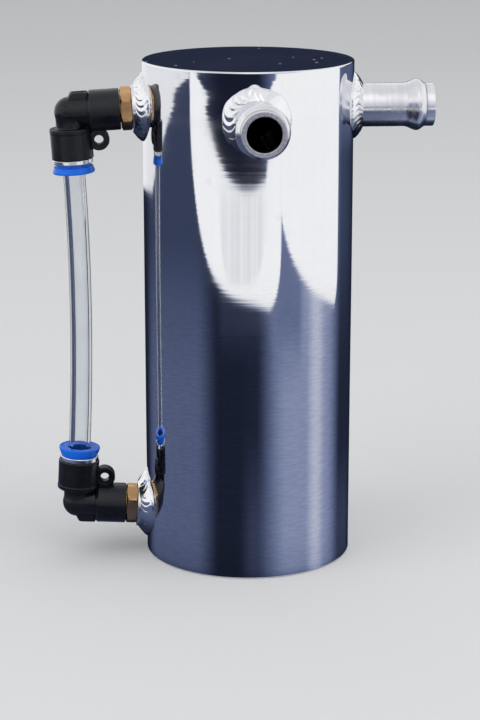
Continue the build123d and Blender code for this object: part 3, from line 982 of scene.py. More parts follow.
@dataclass
class WeldRing:
    """A hand-laid fillet bead round a spigot on the curved wall.

    Attributes:
        can: The can that the bead lies on.
        port: The port's frame.
        spigot: Radius of the spigot.
        leg: Reach of the bead along the wall.
        height: Reach of the bead up the spigot.
        ripples: Crescents round the bead.
        relief: Height of a crescent.
        seed: Shift of the bead's unevenness.
        peak: How much farther the toe is drawn out at one place, as a share of the leg.
        peak_turn: Turn of that place.
        bow: Ripples that a crescent's middle runs ahead of its ends.
        painted_shade: Share of painted shade on the underside, which darkens it towards black.
        columns: Columns round the bead.
        rows: Rows from the spigot to the toe.
        sway: Ripples by which the unevenness shifts the crescents.
        toe_sway: Share of the leg by which it shifts the toe.
        arch: Power that rounds a crescent.
        crest: Height on a crescent that keeps the bead's own surface.
        lump: How unlike each other the crescents are.
        calm: Strength of the crescents where they are weakest.
        bold: How much stronger they are at half a turn.
        lift_share: Share of a crescent's height that goes each way, out and up.
        peak_width: Turn over which the drawn tip falls off.
        peak_thin: How thin the bead gets at that tip.
        toe_sink: How far the toe lies under the wall.
        root: Depth at which the shell closes under the wall.
    """

    can: Can
    port: Frame
    spigot: float
    leg: float
    height: float = 3.5
    ripples: int = 20
    relief: float = 0.17
    seed: float = 0.0
    peak: float = 0.0
    peak_turn: float = 0.0
    bow: float = 0.8
    painted_shade: float = 0.75
    columns: int = 480
    rows: int = 26
    sway: float = 0.14
    toe_sway: float = 0.045
    arch: float = 0.7
    crest: float = 0.65
    lump: float = 0.25
    calm: float = 0.5
    bold: float = 1.2
    lift_share: float = 0.7
    peak_width: float = 0.17
    peak_thin: float = 0.7
    toe_sink: float = 0.06
    root: float = 0.9

    def build(self, name: str, node: str) -> None:
        """Builds the bead and dresses it.

        Across the bead, s runs from 0 at the spigot to 1 at the toe. The distance from the axis grows
        evenly with s and the height over the wall falls as a mean of 1 - s and the quarter ellipse
        sqrt(1 - s^2). Crescents, a power of |sin(pi p)|, stand out from that, where p counts ripples round
        the bead and runs ahead in the middle of it, so that each is bowed. They are strongest at half a
        turn, as sin(t / 2)^4. Sines of three and seven waves round the bead make it uneven. The toe is
        drawn out to a thin tip at the peak, falling off as exp(-|t|). The shell closes under the wall.

        Args:
            name: Name of the piece.
            node: CAD node that it stands for.
        """
        turn = turns(self.columns)
        share = np.linspace(0.0, 1.0, self.rows)[:, None]
        uneven = np.sin(3 * turn + self.seed) + 0.7 * np.sin(7 * turn + 2.3 * self.seed + 1.0)
        phase = self.ripples * turn / TURN + self.sway * uneven + self.bow * (1 - (2 * share - 1) ** 2)
        crescent = np.abs(np.sin(np.pi * phase)) ** self.arch - self.crest
        lump = self.lump * np.sin(np.floor(phase) * 2.4 + self.seed)
        middle = np.sin(np.pi * (share * 0.92 + 0.04)) ** 0.6
        strength = self.calm + self.bold * np.sin(turn / 2) ** 4
        lift = self.lift_share * self.relief * strength * middle * (crescent + lump)
        from_peak = np.angle(np.exp(1j * (turn - self.peak_turn)))
        drawn = np.exp(-np.abs(from_peak) / self.peak_width)
        toe = 1 + self.toe_sway * uneven + self.peak * drawn
        radius = self.spigot + self.leg * toe * share + lift
        fall = FILLET_FLAT * (1 - share) + (1 - FILLET_FLAT) * np.sqrt(np.clip(1 - share**2, 0, 1))
        over_wall = self.can.wall_height(self.port, radius, turn)
        thin = 1 - self.peak * self.peak_thin * drawn * share
        height = over_wall + self.height * fall * thin + lift - self.toe_sink * share
        buried = over_wall[[-1, 0]] - self.root
        radius = np.concatenate([radius, radius[[-1, 0]]])
        height = np.concatenate([height, buried])
        # Painted shade: darkens the bead's underside towards black
        soot = np.broadcast_to(self.painted_shade * underside(self.port, turn), height.shape)
        grid = Grid(self.port.place(round_axis(radius, turn, height)), marks={"soot": soot})
        dress(make_piece(name, grid), BEAD, node)


@dataclass
class HoseBarb:
    """A turned hose barb: spigot through the wall, rolled bead and short nose.

    Attributes:
        spigot: Outer radius.
        bore: Radius of the bore.
        reach: Wall to tip.
        inside: Length inside the wall's outer face.
        bead: Radius of the rolled bead.
        bead_length: Length of the bead.
        nose: Length past the bead.
        tip_round: Rounding of the tip's outer edge.
        mouth_round: Rounding of the bore's mouth.
        crest: How late the bead's crest lies, as a power of the share along it.
        painted_shade: Share of painted shade on the underside at the root.
        tip_painted_shade: The same under the tip.
        crease_painted_shade: Share of painted shade in the crease between the bead and the nose.
        crease: Half width of that crease.
        weld_leg: Reach of the weld along the wall.
        swell: Power that rounds the bead's crest.
        painted_shade_from: Share of the reach from which the painted shade thins out.
        bore_shade_span: Depths in the bore between which the painted shade there gets full.
        cut_span: Distances from the tip between which the sawn end comes in.
        rows: Rows along the spigot, over the bead, in each rounding of the tip and along the bore.
        columns: Columns round the barb.
    """

    spigot: float = 7.85
    bore: float = 5.95
    reach: float = 29.1
    inside: float = 5.0
    bead: float = 9.35
    bead_length: float = 7.8
    nose: float = 3.25
    tip_round: float = 0.35
    mouth_round: float = 0.45
    crest: float = 1.5
    painted_shade: float = 0.65
    tip_painted_shade: float = 0.15
    crease_painted_shade: float = 0.5
    crease: float = 0.45
    weld_leg: float = 4.25
    swell: float = 0.65
    painted_shade_from: float = 0.15
    bore_shade_span: tuple[float, float] = (0.2, 4.0)
    cut_span: tuple[float, float] = (0.3, 0.05)
    rows: tuple[int, int, int, int] = (24, 41, 6, 30)
    columns: int = 160

    def surface(self, port: Frame) -> Grid:
        """Surface of the barb: a raised cosine bead on a straight spigot, a rounded tip and a bore.

        Over the bead, radius = spigot + rise ((1 - cos a) / 2)^swell with a from 0 to 2 pi along it, slowly
        at first, so that the crest lies past the middle. The bore's rows get painted shade, darker the
        deeper they lie, the outer underside gets painted shade, most at the root, the crease beside the
        bead a ring of painted shade all round, and the tip's flat end is marked as cut.

        Args:
            port: The port's frame.

        Returns:
            The surface.
        """
        bead_end = self.reach - self.nose
        bead_start = bead_end - self.bead_length
        shank_rows, bead_rows, tip_rows, bore_rows = self.rows
        share = np.linspace(0.0, 1.0, bead_rows)
        swell = ((1 - np.cos(TURN * share**self.crest)) / 2) ** self.swell
        over_bead = self.spigot + (self.bead - self.spigot) * swell
        bead = np.stack([over_bead, bead_start + share * self.bead_length], axis=-1)
        shank = np.linspace(-self.inside, bead_start, shank_rows)[:-1]
        outside = np.stack([np.full_like(shank, self.spigot), shank], axis=-1)
        tip = rounded(
            [
                (self.spigot, bead_end + SUPPORT_RUN, 0),
                (self.spigot, bead_end + self.crease, 0),
                (self.spigot, self.reach, self.tip_round),
                (self.bore, self.reach, self.mouth_round),
                (self.bore, self.reach - 2 * self.mouth_round, 0),
            ],
            steps=tip_rows,
        )
        depth = np.linspace(3 * self.mouth_round, self.reach + self.inside, bore_rows)
        bore = np.stack([np.full_like(depth, self.bore), self.reach - depth], axis=-1)
        profile = np.concatenate([outside, bead, tip, bore])
        made = revolved(port, profile, steps=self.columns)
        inside = profile[:, 0] < self.bore + self.mouth_round
        # Painted shade: the outer underside, most at the root, and a ring in the crease beside the bead are
        # darkened towards black
        under = underside(port, turns(self.columns))
        outwards = smooth_step(self.painted_shade_from * self.reach, self.reach, profile[:, 1])[:, None]
        painted_shade = under * (self.painted_shade + (self.tip_painted_shade - self.painted_shade) * outwards)
        from_crease = np.abs(profile[:, 1] - bead_end)[:, None]
        painted_shade = np.maximum(painted_shade, self.crease_painted_shade * smooth_step(-self.crease, 0.0, -from_crease))
        from_tip = self.reach - profile[:, 1]
        # Painted shade in the bore, darker the deeper it lies
        bore_shade = (inside * smooth_step(*self.bore_shade_span, from_tip))[:, None]
        made.marks["soot"] = np.maximum(bore_shade, painted_shade * ~inside[:, None])
        flat = smooth_step(*self.cut_span, from_tip)
        made.marks["cut"] = flat * (profile[:, 0] < self.spigot - self.tip_round / 3)
        return made

    def build(self, port: Frame, name: str, node: str) -> None:
        """Builds the barb at a port, in place of a CAD node, and dresses it."""
        dress(make_piece(name, self.surface(port)), TURNED, node)


@dataclass
class GaugeFitting:
    """A push-in elbow of the sight gauge, on its bung and brass stud.

    Places along the port are from the wall, and those along the leg are from the barrel's axis. The other
    sizes stand in groups, which say what they are.

    Attributes:
        can: The can that carries the fitting.
        level: Upper or lower fitting.
        hex_turn: Turn of a corner of the hexagon in degrees.
        bung_bead: Seed and drawn-out tip of the bung's weld, named as in its class.
    """

    can: Can
    level: Level
    hex_turn: float
    bung_bead: dict[str, float]

    # Bung: radius, how far it stands out of the wall and into the can, and its weld
    bung: float = 8.5
    bung_proud: float = 3.8
    bung_inside: float = 4.5
    bung_leg: float = 3.5
    bung_ripples: int = 23
    bung_relief: float = 0.24

    # Brass stud: radii, the hexagon's from its flats to the lands at its two ends
    thread: float = 6.5
    spigot: float = 4.8
    passage: float = 2.5
    hex_flat: float = 7.0
    hex_foot: float = 6.9
    hex_brow: float = 7.05
    hex_land: float = 6.85
    # Places along the port
    hex_face: float = 7.9
    spigot_end: float = 17.1
    # Lengths, cuts and gaps
    thread_length: float = 8.0
    thread_gap: float = 0.05
    hex_chamfer: float = 0.6
    hex_blunt: float = 0.1
    hex_step: float = 0.15
    hex_columns: int = 144

    # Elbow's barrel and its leg with the socket: radii
    barrel: float = 7.45
    neck: float = 5.5
    leg_neck: float = 5.2
    socket: float = 7.69
    socket_waist: float = 7.55
    tube_hole: float = 4.1
    cavity: float = 6.2
    # Places along the port, then along the leg
    barrel_start: float = 8.1
    barrel_end: float = 19.5
    leg_offset: float = 26.2
    leg_start: float = 0.2
    shoulder: float = 5.6
    tube_stop: float = 7.5
    cavity_at: float = 11.0
    socket_end: float = 16.8
    # Lengths, cuts and gaps
    lip_length: float = 1.5
    lip_taper: float = 0.35
    end_chamfer: float = 0.9
    spigot_gap: float = 0.1
    ball_rows: int = 25

    # Marking pad: its size, its run past the leg and into the barrel, and widths of its edges
    pad_width: float = 6.6
    pad_height: float = 7.0
    pad_past_leg: float = 0.7
    pad_overlap: float = 0.4
    pad_border: float = 0.9
    pad_edge: float = 0.35
    pad_slope: float = 1.3
    # Depth of its face
    pad_recess: float = 0.35

    # Lug: radii of its disc, eye and sunk face, half thickness, depth of that face and place on the leg
    lug: float = 3.85
    lug_hole: float = 1.65
    lug_recess: float = 2.6
    lug_half: float = 2.2
    lug_sink: float = 0.6
    lug_along: float = 10.4
    lug_across: float = 9.8
    eye_columns: int = 64
    # Web that carries the lug: half thickness and rounded edge
    web_half: float = 1.5
    web_edge: float = 0.4

    # Plated ring at the socket's mouth: radii
    ring_flange: float = 7.1
    ring_outer: float = 6.1
    ring_seat: float = 6.4
    ring_bore: float = 5.0
    ring_skirt: float = 5.5
    # Places along the leg
    ring_start: float = 14.15
    ring_shoulder: float = 16.3
    ring_seat_at: float = 17.3
    ring_end: float = 18.5

    # Release collar: radii
    collar_lip: float = 5.4
    collar_sleeve: float = 4.9
    collar_bore: float = 4.15
    collar_neck: float = 6.3
    collar_flange: float = 7.6
    # Places along the leg
    collar_start: float = 15.2
    collar_lip_end: float = 16.2
    collar_neck_at: float = 18.3
    collar_flange_at: float = 19.5
    collar_face: float = 21.9
    # Steps of its flange, dish and bore
    collar_taper: float = 0.55
    collar_band: float = 0.7
    collar_land: float = 0.9
    collar_dish: float = 1.2
    collar_dish_depth: float = 0.25
    collar_lead: float = 0.35

    @property
    def port(self) -> Frame:
        """Frame of the fitting's port."""
        return self.can.gauge_port(self.level)

    @property
    def leg(self) -> Frame:
        """Frame of the elbow's leg: origin on the barrel's axis, across towards the can."""
        port = self.port
        return Frame(port.moved(along=self.leg_offset).origin, -port.axis, port.across)

    def build(self) -> None:
        """Builds the pieces of the fitting in the order in which they go together."""
        self.build_bung()
        WeldRing(
            can=self.can,
            port=self.port,
            spigot=self.bung,
            leg=self.bung_leg,
            ripples=self.bung_ripples,
            relief=self.bung_relief,
            **self.bung_bead,
        ).build(f"{self.level.value}_bung_bead", f"{self.level.value}_bung_weld")
        self.build_stud()
        self.build_elbow()
        self.build_ring()
        self.build_collar()

    def add(
        self, name: str, node: str, grid: Grid, finish: Finish, slot: Slot, body: Body = Body.CAN
    ) -> None:
        """Builds a piece and dresses it, with its name and its CAD node after its level."""
        piece = make_piece(f"{self.level.value}_{name}", grid)
        dress(piece, finish, f"{self.level.value}_{node}", body)

    def build_bung(self) -> None:
        """Builds the bung: a ring through the wall with broken edges."""
        hole = self.thread + self.thread_gap
        corners = [
            (hole, -self.bung_inside, 0),
            (self.bung, -self.bung_inside, 0.3),
            (self.bung, self.bung_proud, 0.4),
            (hole, self.bung_proud, 0.25),
        ]
        ring = revolved(self.port, rounded(corners), steps=FINE_STEPS)
        self.add("bung_ring", "bung", ring, TURNED, Slot.TURNED)

    def build_stud(self) -> None:
        """Builds the brass stud as one surface: thread, hexagon, spigot and bore.

        In the hexagon's rows the radius is the flat's distance over cos of the angle from the flat's
        middle, held under a cone at either end, which cuts the corners back as turning does.
        """
        turn = turns(self.hex_columns)
        from_flat = turn % (np.pi / 3) - np.pi / 6
        corner = self.hex_flat / np.cos(np.pi / 6) - self.hex_blunt
        hexagon = np.minimum(self.hex_flat / np.cos(from_flat), corner)
        low, high = self.bung_proud, self.hex_face
        cut, step = self.hex_chamfer, self.hex_step
        levels = [low, low + step, low + cut / 2, low + cut, high - cut, high - cut / 2, high - step, high]
        limits = [self.hex_foot, corner - cut, corner - cut / 2, corner]
        limits += [corner, corner - cut, self.hex_brow, self.hex_land]
        sides = np.minimum(hexagon, np.array(limits)[:, None])
        before = np.array([self.passage, self.thread, self.thread])[:, None] + 0 * turn
        after = np.array([self.spigot, self.spigot, self.passage])[:, None] + 0 * turn
        radius = np.concatenate([before, sides, after])
        start = low - self.thread_length
        height = np.array([start, start, low, *levels, high, self.spigot_end, self.spigot_end])[:, None]
        spun = turn + np.radians(self.hex_turn)
        grid = Grid(self.port.place(round_axis(radius, spun, height)))
        self.add("stud", "brass_stud", grid, BRASS, Slot.BRASS)

    def build_elbow(self) -> None:
        """Builds the moulded elbow as one closed shell: barrel, leg, pad, web and lug united, then the eye.

        The barrel's neck ends in half a ball about the leg's foot, and the leg starts inside that ball.
        """
        hole, floor = self.spigot + self.spigot_gap, self.spigot_end + self.spigot_gap
        barrel = [
            (0, floor, 0),
            (hole, floor, 0),
            (hole, self.barrel_start, 0.2),
            (self.barrel, self.barrel_start, 0.45),
            (self.barrel, self.barrel_end - self.end_chamfer, 0.2),
            (self.barrel - self.end_chamfer, self.barrel_end, 0.2),
            (self.neck, self.barrel_end, 0.4),
            (self.neck, self.leg_offset, 0),
        ]
        lip_end = self.shoulder + self.lip_length
        socket = [
            (0, self.leg_start, 0),
            (self.leg_neck, self.leg_start, 0),
            (self.leg_neck, self.shoulder, 0.5),
            (self.socket, self.shoulder, 0.45),
            (self.socket, lip_end, 0.25),
            (self.socket_waist, lip_end + self.lip_taper, 0.2),
            (self.socket_waist, self.socket_end, 0.45),
            (self.cavity, self.socket_end, 0.25),
            (self.cavity, self.cavity_at, 0),
            (self.tube_hole, self.cavity_at, 0.2),
            (self.tube_hole, self.tube_stop, 0),
            (0, self.tube_stop, 0),
        ]
        bow = np.linspace(0.0, np.pi / 2, self.ball_rows)[1:]
        ball = np.stack([self.neck * np.cos(bow), self.leg_offset + self.neck * np.sin(bow)], axis=-1)
        ball[-1, 0] = 0.0
        outline = np.concatenate([rounded(barrel), ball])
        bend = revolved(self.port, outline, closed=False, steps=FINE_STEPS)
        piece = make_piece(f"{self.level.value}_elbow", bend)
        leg = revolved(self.leg, rounded(socket), closed=False, steps=FINE_STEPS)
        shells = (leg, self.pad(), self.web(), self.lug_disc())
        joined(piece, [make_mesh("shell", shell) for shell in shells], "UNION")
        eye = drill(self.lug_frame(), self.lug_hole, self.lug_half + DRILL_PAST, self.eye_columns)
        joined(piece, [eye], "DIFFERENCE")
        dress(piece, BLACK, f"{self.level.value}_elbow_body")

    def pad(self) -> Grid:
        """Marking pad on the neck: a block with a sunk, blank face."""
        port = self.port
        length = self.leg_offset + self.pad_past_leg - self.barrel_end + self.pad_overlap
        middle = port.moved(along=self.barrel_end - self.pad_overlap + length / 2)
        frame = Frame(middle.origin, port.axis, -port.across)
        top, sunk = self.pad_height, self.pad_height - self.pad_recess
        edge, slope = self.pad_edge, self.pad_slope
        loops = [
            (1.0, 0.0, 0.0),
            (top - 2 * slope, 0.0, 0.0),
            (top - edge, 0.12, 0.85 * slope),
            (top - 0.1, 0.2, slope),
            (top, edge, slope),
            (top, self.pad_border, slope),
            (top - 0.1, self.pad_border + 0.05, slope),
            (sunk, self.pad_border + 0.2, slope),
            (sunk, self.pad_border + 0.5, slope),
        ]
        return block(frame, length / 2, self.pad_width / 2, loops)

    def web(self) -> Grid:
        """Web in the elbow's inner corner, from the neck and the leg out to the lug."""
        leg = self.leg
        middle = leg.moved(across=self.lug_across / 2, along=self.lug_along / 2)
        frame = Frame(middle.origin, leg.across, leg.side)
        half, edge = self.web_half, self.web_edge
        loops = [(-half, edge + SUPPORT_RUN, 0.0), (-half, edge, 0.0)]
        loops += [(-half + 0.15, 0.12, 0.0), (-half + edge, 0.0, 0.0)]
        loops += [(-height, draw, end_cut) for height, draw, end_cut in reversed(loops)]
        return block(frame, self.lug_across / 2, self.lug_along / 2, loops)

    def lug_frame(self) -> Frame:
        """Frame of the lug: origin at its middle, axis through the eye."""
        leg = self.leg
        middle = leg.moved(across=self.lug_across, along=self.lug_along)
        return Frame(middle.origin, leg.across, leg.side)

    def lug_disc(self) -> Grid:
        """Disc of the lug, sunk round the eye on both faces."""
        half, sunk = self.lug_half, self.lug_half - self.lug_sink
        corners = [
            (0, -sunk, 0),
            (self.lug_recess, -sunk, 0.1),
            (self.lug_recess, -half, 0.15),
            (self.lug, -half, 0.4),
            (self.lug, half, 0.4),
            (self.lug_recess, half, 0.15),
            (self.lug_recess, sunk, 0.1),
            (0, sunk, 0),
        ]
        return revolved(self.lug_frame(), rounded(corners), closed=False)

    def build_ring(self) -> None:
        """Builds the plated ring at the socket's mouth."""
        corners = [
            (self.ring_skirt, self.ring_start, 0),
            (self.ring_outer, self.ring_start, 0),
            (self.ring_outer, self.socket_end, 0),
            (self.ring_flange, self.socket_end, 0.2),
            (self.ring_flange, self.ring_end, 0.35),
            (self.ring_seat, self.ring_end, 0.15),
            (self.ring_seat, self.ring_seat_at, 0),
            (self.ring_bore, self.ring_seat_at, 0),
            (self.ring_bore, self.ring_shoulder, 0),
            (self.ring_skirt, self.ring_shoulder, 0),
        ]
        ring = revolved(self.leg, rounded(corners), steps=FINE_STEPS)
        self.add("mouth_ring", "retaining_ring", ring, PLATED, Slot.PLATED)

    def build_collar(self) -> None:
        """Builds the release collar: a lipped sleeve and a stepped flange, dished where a thumb presses."""
        at, face, flange = self.collar_flange_at, self.collar_face, self.collar_flange
        depth = self.collar_dish_depth
        corners = [
            (self.collar_bore, self.collar_start, 0),
            (self.collar_lip, self.collar_start, 0.2),
            (self.collar_lip, self.collar_lip_end, 0),
            (self.collar_sleeve, self.collar_lip_end, 0),
            (self.collar_sleeve, self.collar_neck_at, 0),
            (self.collar_neck, self.collar_neck_at, 0.12),
            (self.collar_neck, at, 0.1),
            (flange - self.collar_taper, at, 0.2),
            (flange, face - self.collar_band, 0.3),
            (flange, face, 0.45),
            (flange - self.collar_land, face, 0.12),
            (flange - self.collar_dish, face - depth, 0.12),
            (self.collar_bore + self.collar_lead, face - depth, 0.1),
            (self.collar_bore, face - 2 * depth, 0.1),
        ]
        body = Body.UPPER_COLLAR if self.level is Level.UPPER else Body.LOWER_COLLAR
        ring = revolved(self.leg, rounded(corners), steps=FINE_STEPS)
        self.add("collar", "release_collar", ring, BLUE, Slot.BLUE, body)


@dataclass
class SightTube:
    """The clear tube between the two fittings, bowed a little towards the can.

    Attributes:
        upper: The upper fitting. The lower one is its mirror image.
        outer: Outer radius.
        bore: Radius of the bore.
        end_gap: Gap between the tube's end and the bottom of the socket.
        arc_rows: Rows along the arc.
        run_rows: Rows along the straight run in each socket.
    """

    upper: GaugeFitting
    outer: float = 4.0
    bore: float = 2.7
    end_gap: float = 0.1
    arc_rows: int = 81
    run_rows: int = 7

    def route(self) -> tuple[np.ndarray, np.ndarray]:
        """Middle line of the tube: straight in each socket, and one arc between the collars.

        The arc turns through the lean of both legs about a centre at half the can's height, so it
        leaves each socket in line with the leg.

        Returns:
            Points of the line, and the direction across the line in its plane.
        """
        fitting = self.upper
        leg = fitting.leg
        middle = fitting.can.height / 2
        lean = np.radians(fitting.can.lean)
        start = leg.moved(along=fitting.tube_stop + self.end_gap).origin
        face = leg.moved(along=fitting.collar_face).origin
        radius = (face[2] - middle) / np.sin(lean)
        swing = np.linspace(lean, -lean, self.arc_rows)
        bowed = face[0] + radius * (np.cos(swing) - np.cos(lean))
        arc = np.stack([bowed, 0 * swing, middle + radius * np.sin(swing)], axis=-1)
        run = np.linspace(0.0, 1.0, self.run_rows, endpoint=False)[:, None]
        entry = start + run * (face - start)
        flip = np.array([1.0, 1.0, -1.0])
        drop = np.array([0.0, 0.0, 2 * middle])
        points = np.concatenate([entry, arc, entry[::-1] * flip + drop])
        slope = np.concatenate([np.full(len(run), lean), swing, np.full(len(run), -lean)])
        across = np.stack([np.cos(slope), 0 * slope, np.sin(slope)], axis=-1)
        return points, across

    def build(self) -> None:
        """Builds the tube: the outer and inner walls carried along the route, joined at the ends.

        A point of a wall is the route's point plus r cos t across plus r sin t along Y.
        """
        points, across = self.route()
        turn = turns(ROUND_STEPS)[..., None]
        side = np.array([0.0, 1.0, 0.0])
        ring = np.cos(turn) * across[:, None, :] + np.sin(turn) * side
        outside = points[:, None, :] + self.outer * ring
        inside = (points[:, None, :] + self.bore * ring)[::-1]
        piece = make_piece("clear_sight_tube", Grid(np.concatenate([outside, inside])))
        dress(piece, CLEAR, "sight_tube")


@dataclass
class Bracket:
    """The mounting bracket behind the can, its weld beads, and the drain in the base.

    Attributes:
        can: The can that carries them.
        nodes: CAD nodes by name.
        level: Height of the bracket's underside.
        sheet: Thickness of the sheet.
        width: Width of the bracket.
        bead_leg: Reach of a weld bead along the wall and along the sheet.
        bead_short: Angle in degrees that a bead ends short of the bracket's edges.
        edge_break: Width of the broken edges.
        ripple: Length of a ripple along a bead.
        relief: Height of a crescent.
        arch: Power that rounds a crescent.
        crest: Height on a crescent that keeps the bead's own surface.
        bow: Ripples that a crescent's middle runs ahead of its ends.
        sway: Ripples by which the crescents are laid unevenly.
        blunt: How blunt the bead's ends are.
        slack: Share of its leg that a bead fills.
        toe_sink: How far the toes lie in the wall and the sheet.
        root: Depth at which the shell closes in the wall and the sheet.
        bead_rows: Rows along a bead.
        bead_columns: Columns across its face.
    """

    can: Can
    nodes: dict[str, bpy.types.Object]
    level: float = 118.0
    sheet: float = 3.0
    width: float = 54.0
    bead_leg: float = 3.4
    bead_short: float = 5.0
    edge_break: float = 0.35
    ripple: float = 2.1
    relief: float = 0.24
    arch: float = 0.55
    crest: float = 0.75
    bow: float = 0.7
    sway: float = 0.2
    blunt: float = 2.2
    slack: float = 0.97
    toe_sink: float = 0.02
    root: float = 0.3
    bead_rows: int = 321
    bead_columns: int = 15

    def build(self) -> None:
        """Builds the bracket, its beads and the drain."""
        self.build_copy("mounting_bracket", "bracket_plate", SHEET)
        self.build_bead("bracket_upper_bead", "bracket_upper_weld", self.level + self.sheet, 1.0)
        self.build_bead("bracket_lower_bead", "bracket_lower_weld", self.level, -1.0)
        self.build_copy("drain_boss", "drain_seat", TURNED)
        self.build_copy("drain_plug", "drain_screw", PLUG)

    def build_copy(self, node: str, name: str, finish: Finish) -> None:
        """Builds a piece as a copy of its CAD node with broken edges, and dresses it."""
        dress(merged_copy(self.nodes[node], name, self.edge_break), finish, node)

    def build_bead(self, name: str, node: str, level: float, up: float) -> None:
        """Builds one fillet bead between the wall and a face of the bracket's leg.

        In section, the angle a runs from the leg's face to the wall's on a mean of the quarter circle and
        its chord 1 / (cos a + sin a). Crescents, a power of |sin(pi p)|, stand out from it, where p counts
        ripples along the bead. Towards its ends the bead shrinks as the square root of a parabola.

        Args:
            name: Name of the piece.
            node: CAD node that it stands for.
            level: Height of the leg's face.
            up: One for the bead over the leg, minus one for the one under it.
        """
        half = np.arcsin(self.width / 2 / self.can.radius) - np.radians(self.bead_short)
        turn = np.linspace(-half, half, self.bead_rows)[:, None]
        angle = np.linspace(0.0, np.pi / 2, self.bead_columns)[None, :]
        across = np.sin(2 * angle)
        fade = np.clip(1 - (turn / half) ** 2, 0, 1) ** 0.5
        fade = np.minimum(1.0, self.blunt * fade)
        phase = turn * self.can.radius / self.ripple + self.bow * across + self.sway * np.sin(9 * turn)
        crescent = self.relief * across * (np.abs(np.sin(np.pi * phase)) ** self.arch - self.crest)
        straight = 1 / (np.cos(angle) + np.sin(angle))
        reach = (FILLET_FLAT * straight + 1 - FILLET_FLAT) * self.bead_leg * self.slack + crescent
        out = self.can.radius - self.toe_sink + fade * reach * np.sin(angle)
        height = level + up * (self.toe_sink + fade * reach * np.cos(angle))
        root_out = self.can.radius - self.root + 0 * turn
        root_height = level - up * self.root + 0 * turn
        out = np.concatenate([out, out[:, -1:], root_out, root_out], axis=1)
        height = np.concatenate([height, root_height, root_height, height[:, :1]], axis=1)
        middle_out = np.mean(out[[0, -1]], axis=1, keepdims=True) + 0 * out[[0, -1]]
        middle_height = np.mean(height[[0, -1]], axis=1, keepdims=True) + 0 * height[[0, -1]]
        out = np.concatenate([middle_out[:1], out, middle_out[1:]])
        height = np.concatenate([middle_height[:1], height, middle_height[1:]])
        turn = np.concatenate([turn[:1], turn, turn[-1:]])
        points = np.stack([out * np.sin(turn), out * np.cos(turn), height], axis=-1)
        dress(make_piece(name, Grid(points, rows_closed=False)), BEAD, node)


def dress_hidden(nodes: dict[str, bpy.types.Object]) -> None:
    """Gives the seals and grab rings inside the elbows their finishes.

    Args:
        nodes: CAD nodes by name.
    """
    for level in Level:
        for name, finish in (("swivel_seal", RUBBER), ("tube_seal", RUBBER), ("grab_ring", SPRING)):
            node = nodes[f"{level.value}_{name}"]
            node.data.materials.clear()
            node.data.materials.append(finish.material())
            log.info("%s: %s", node.name, finish.name)


# Studio


STREAKS: tuple[Triple, ...] = (  # strength, rate and shift of each sine
    (1.0, 0.37, 0.0),
    (0.9, 0.83, 1.0),
    (0.8, 1.71, 2.0),
    (0.6, 2.9, 0.5),
    (0.4, 4.3, 2.6),
)
STREAK_BEND: Triple = (4.0, 0.083, 0.4)  # the same three of the sine that bends the bearings
STREAK_SPAN = (-1.8, 1.8)  # sums between which a streak comes in
LEAST_SLOPE = 0.05  # keeps a board's far edge at a finite distance


def streaks(bearing: np.ndarray) -> np.ndarray:
    """Uneven streaks over bearings: sines of unlike steps, on bearings that one more slow sine bends.

    Args:
        bearing: Bearings in degrees.

    Returns:
        Shares from zero to one.
    """
    bend, bend_rate, bend_shift = STREAK_BEND
    bent = bearing + bend * np.sin(bend_rate * bearing + bend_shift)
    total = sum(strength * np.sin(rate * bent + shift) for strength, rate, shift in STREAKS)
    return smooth_step(*STREAK_SPAN, total)


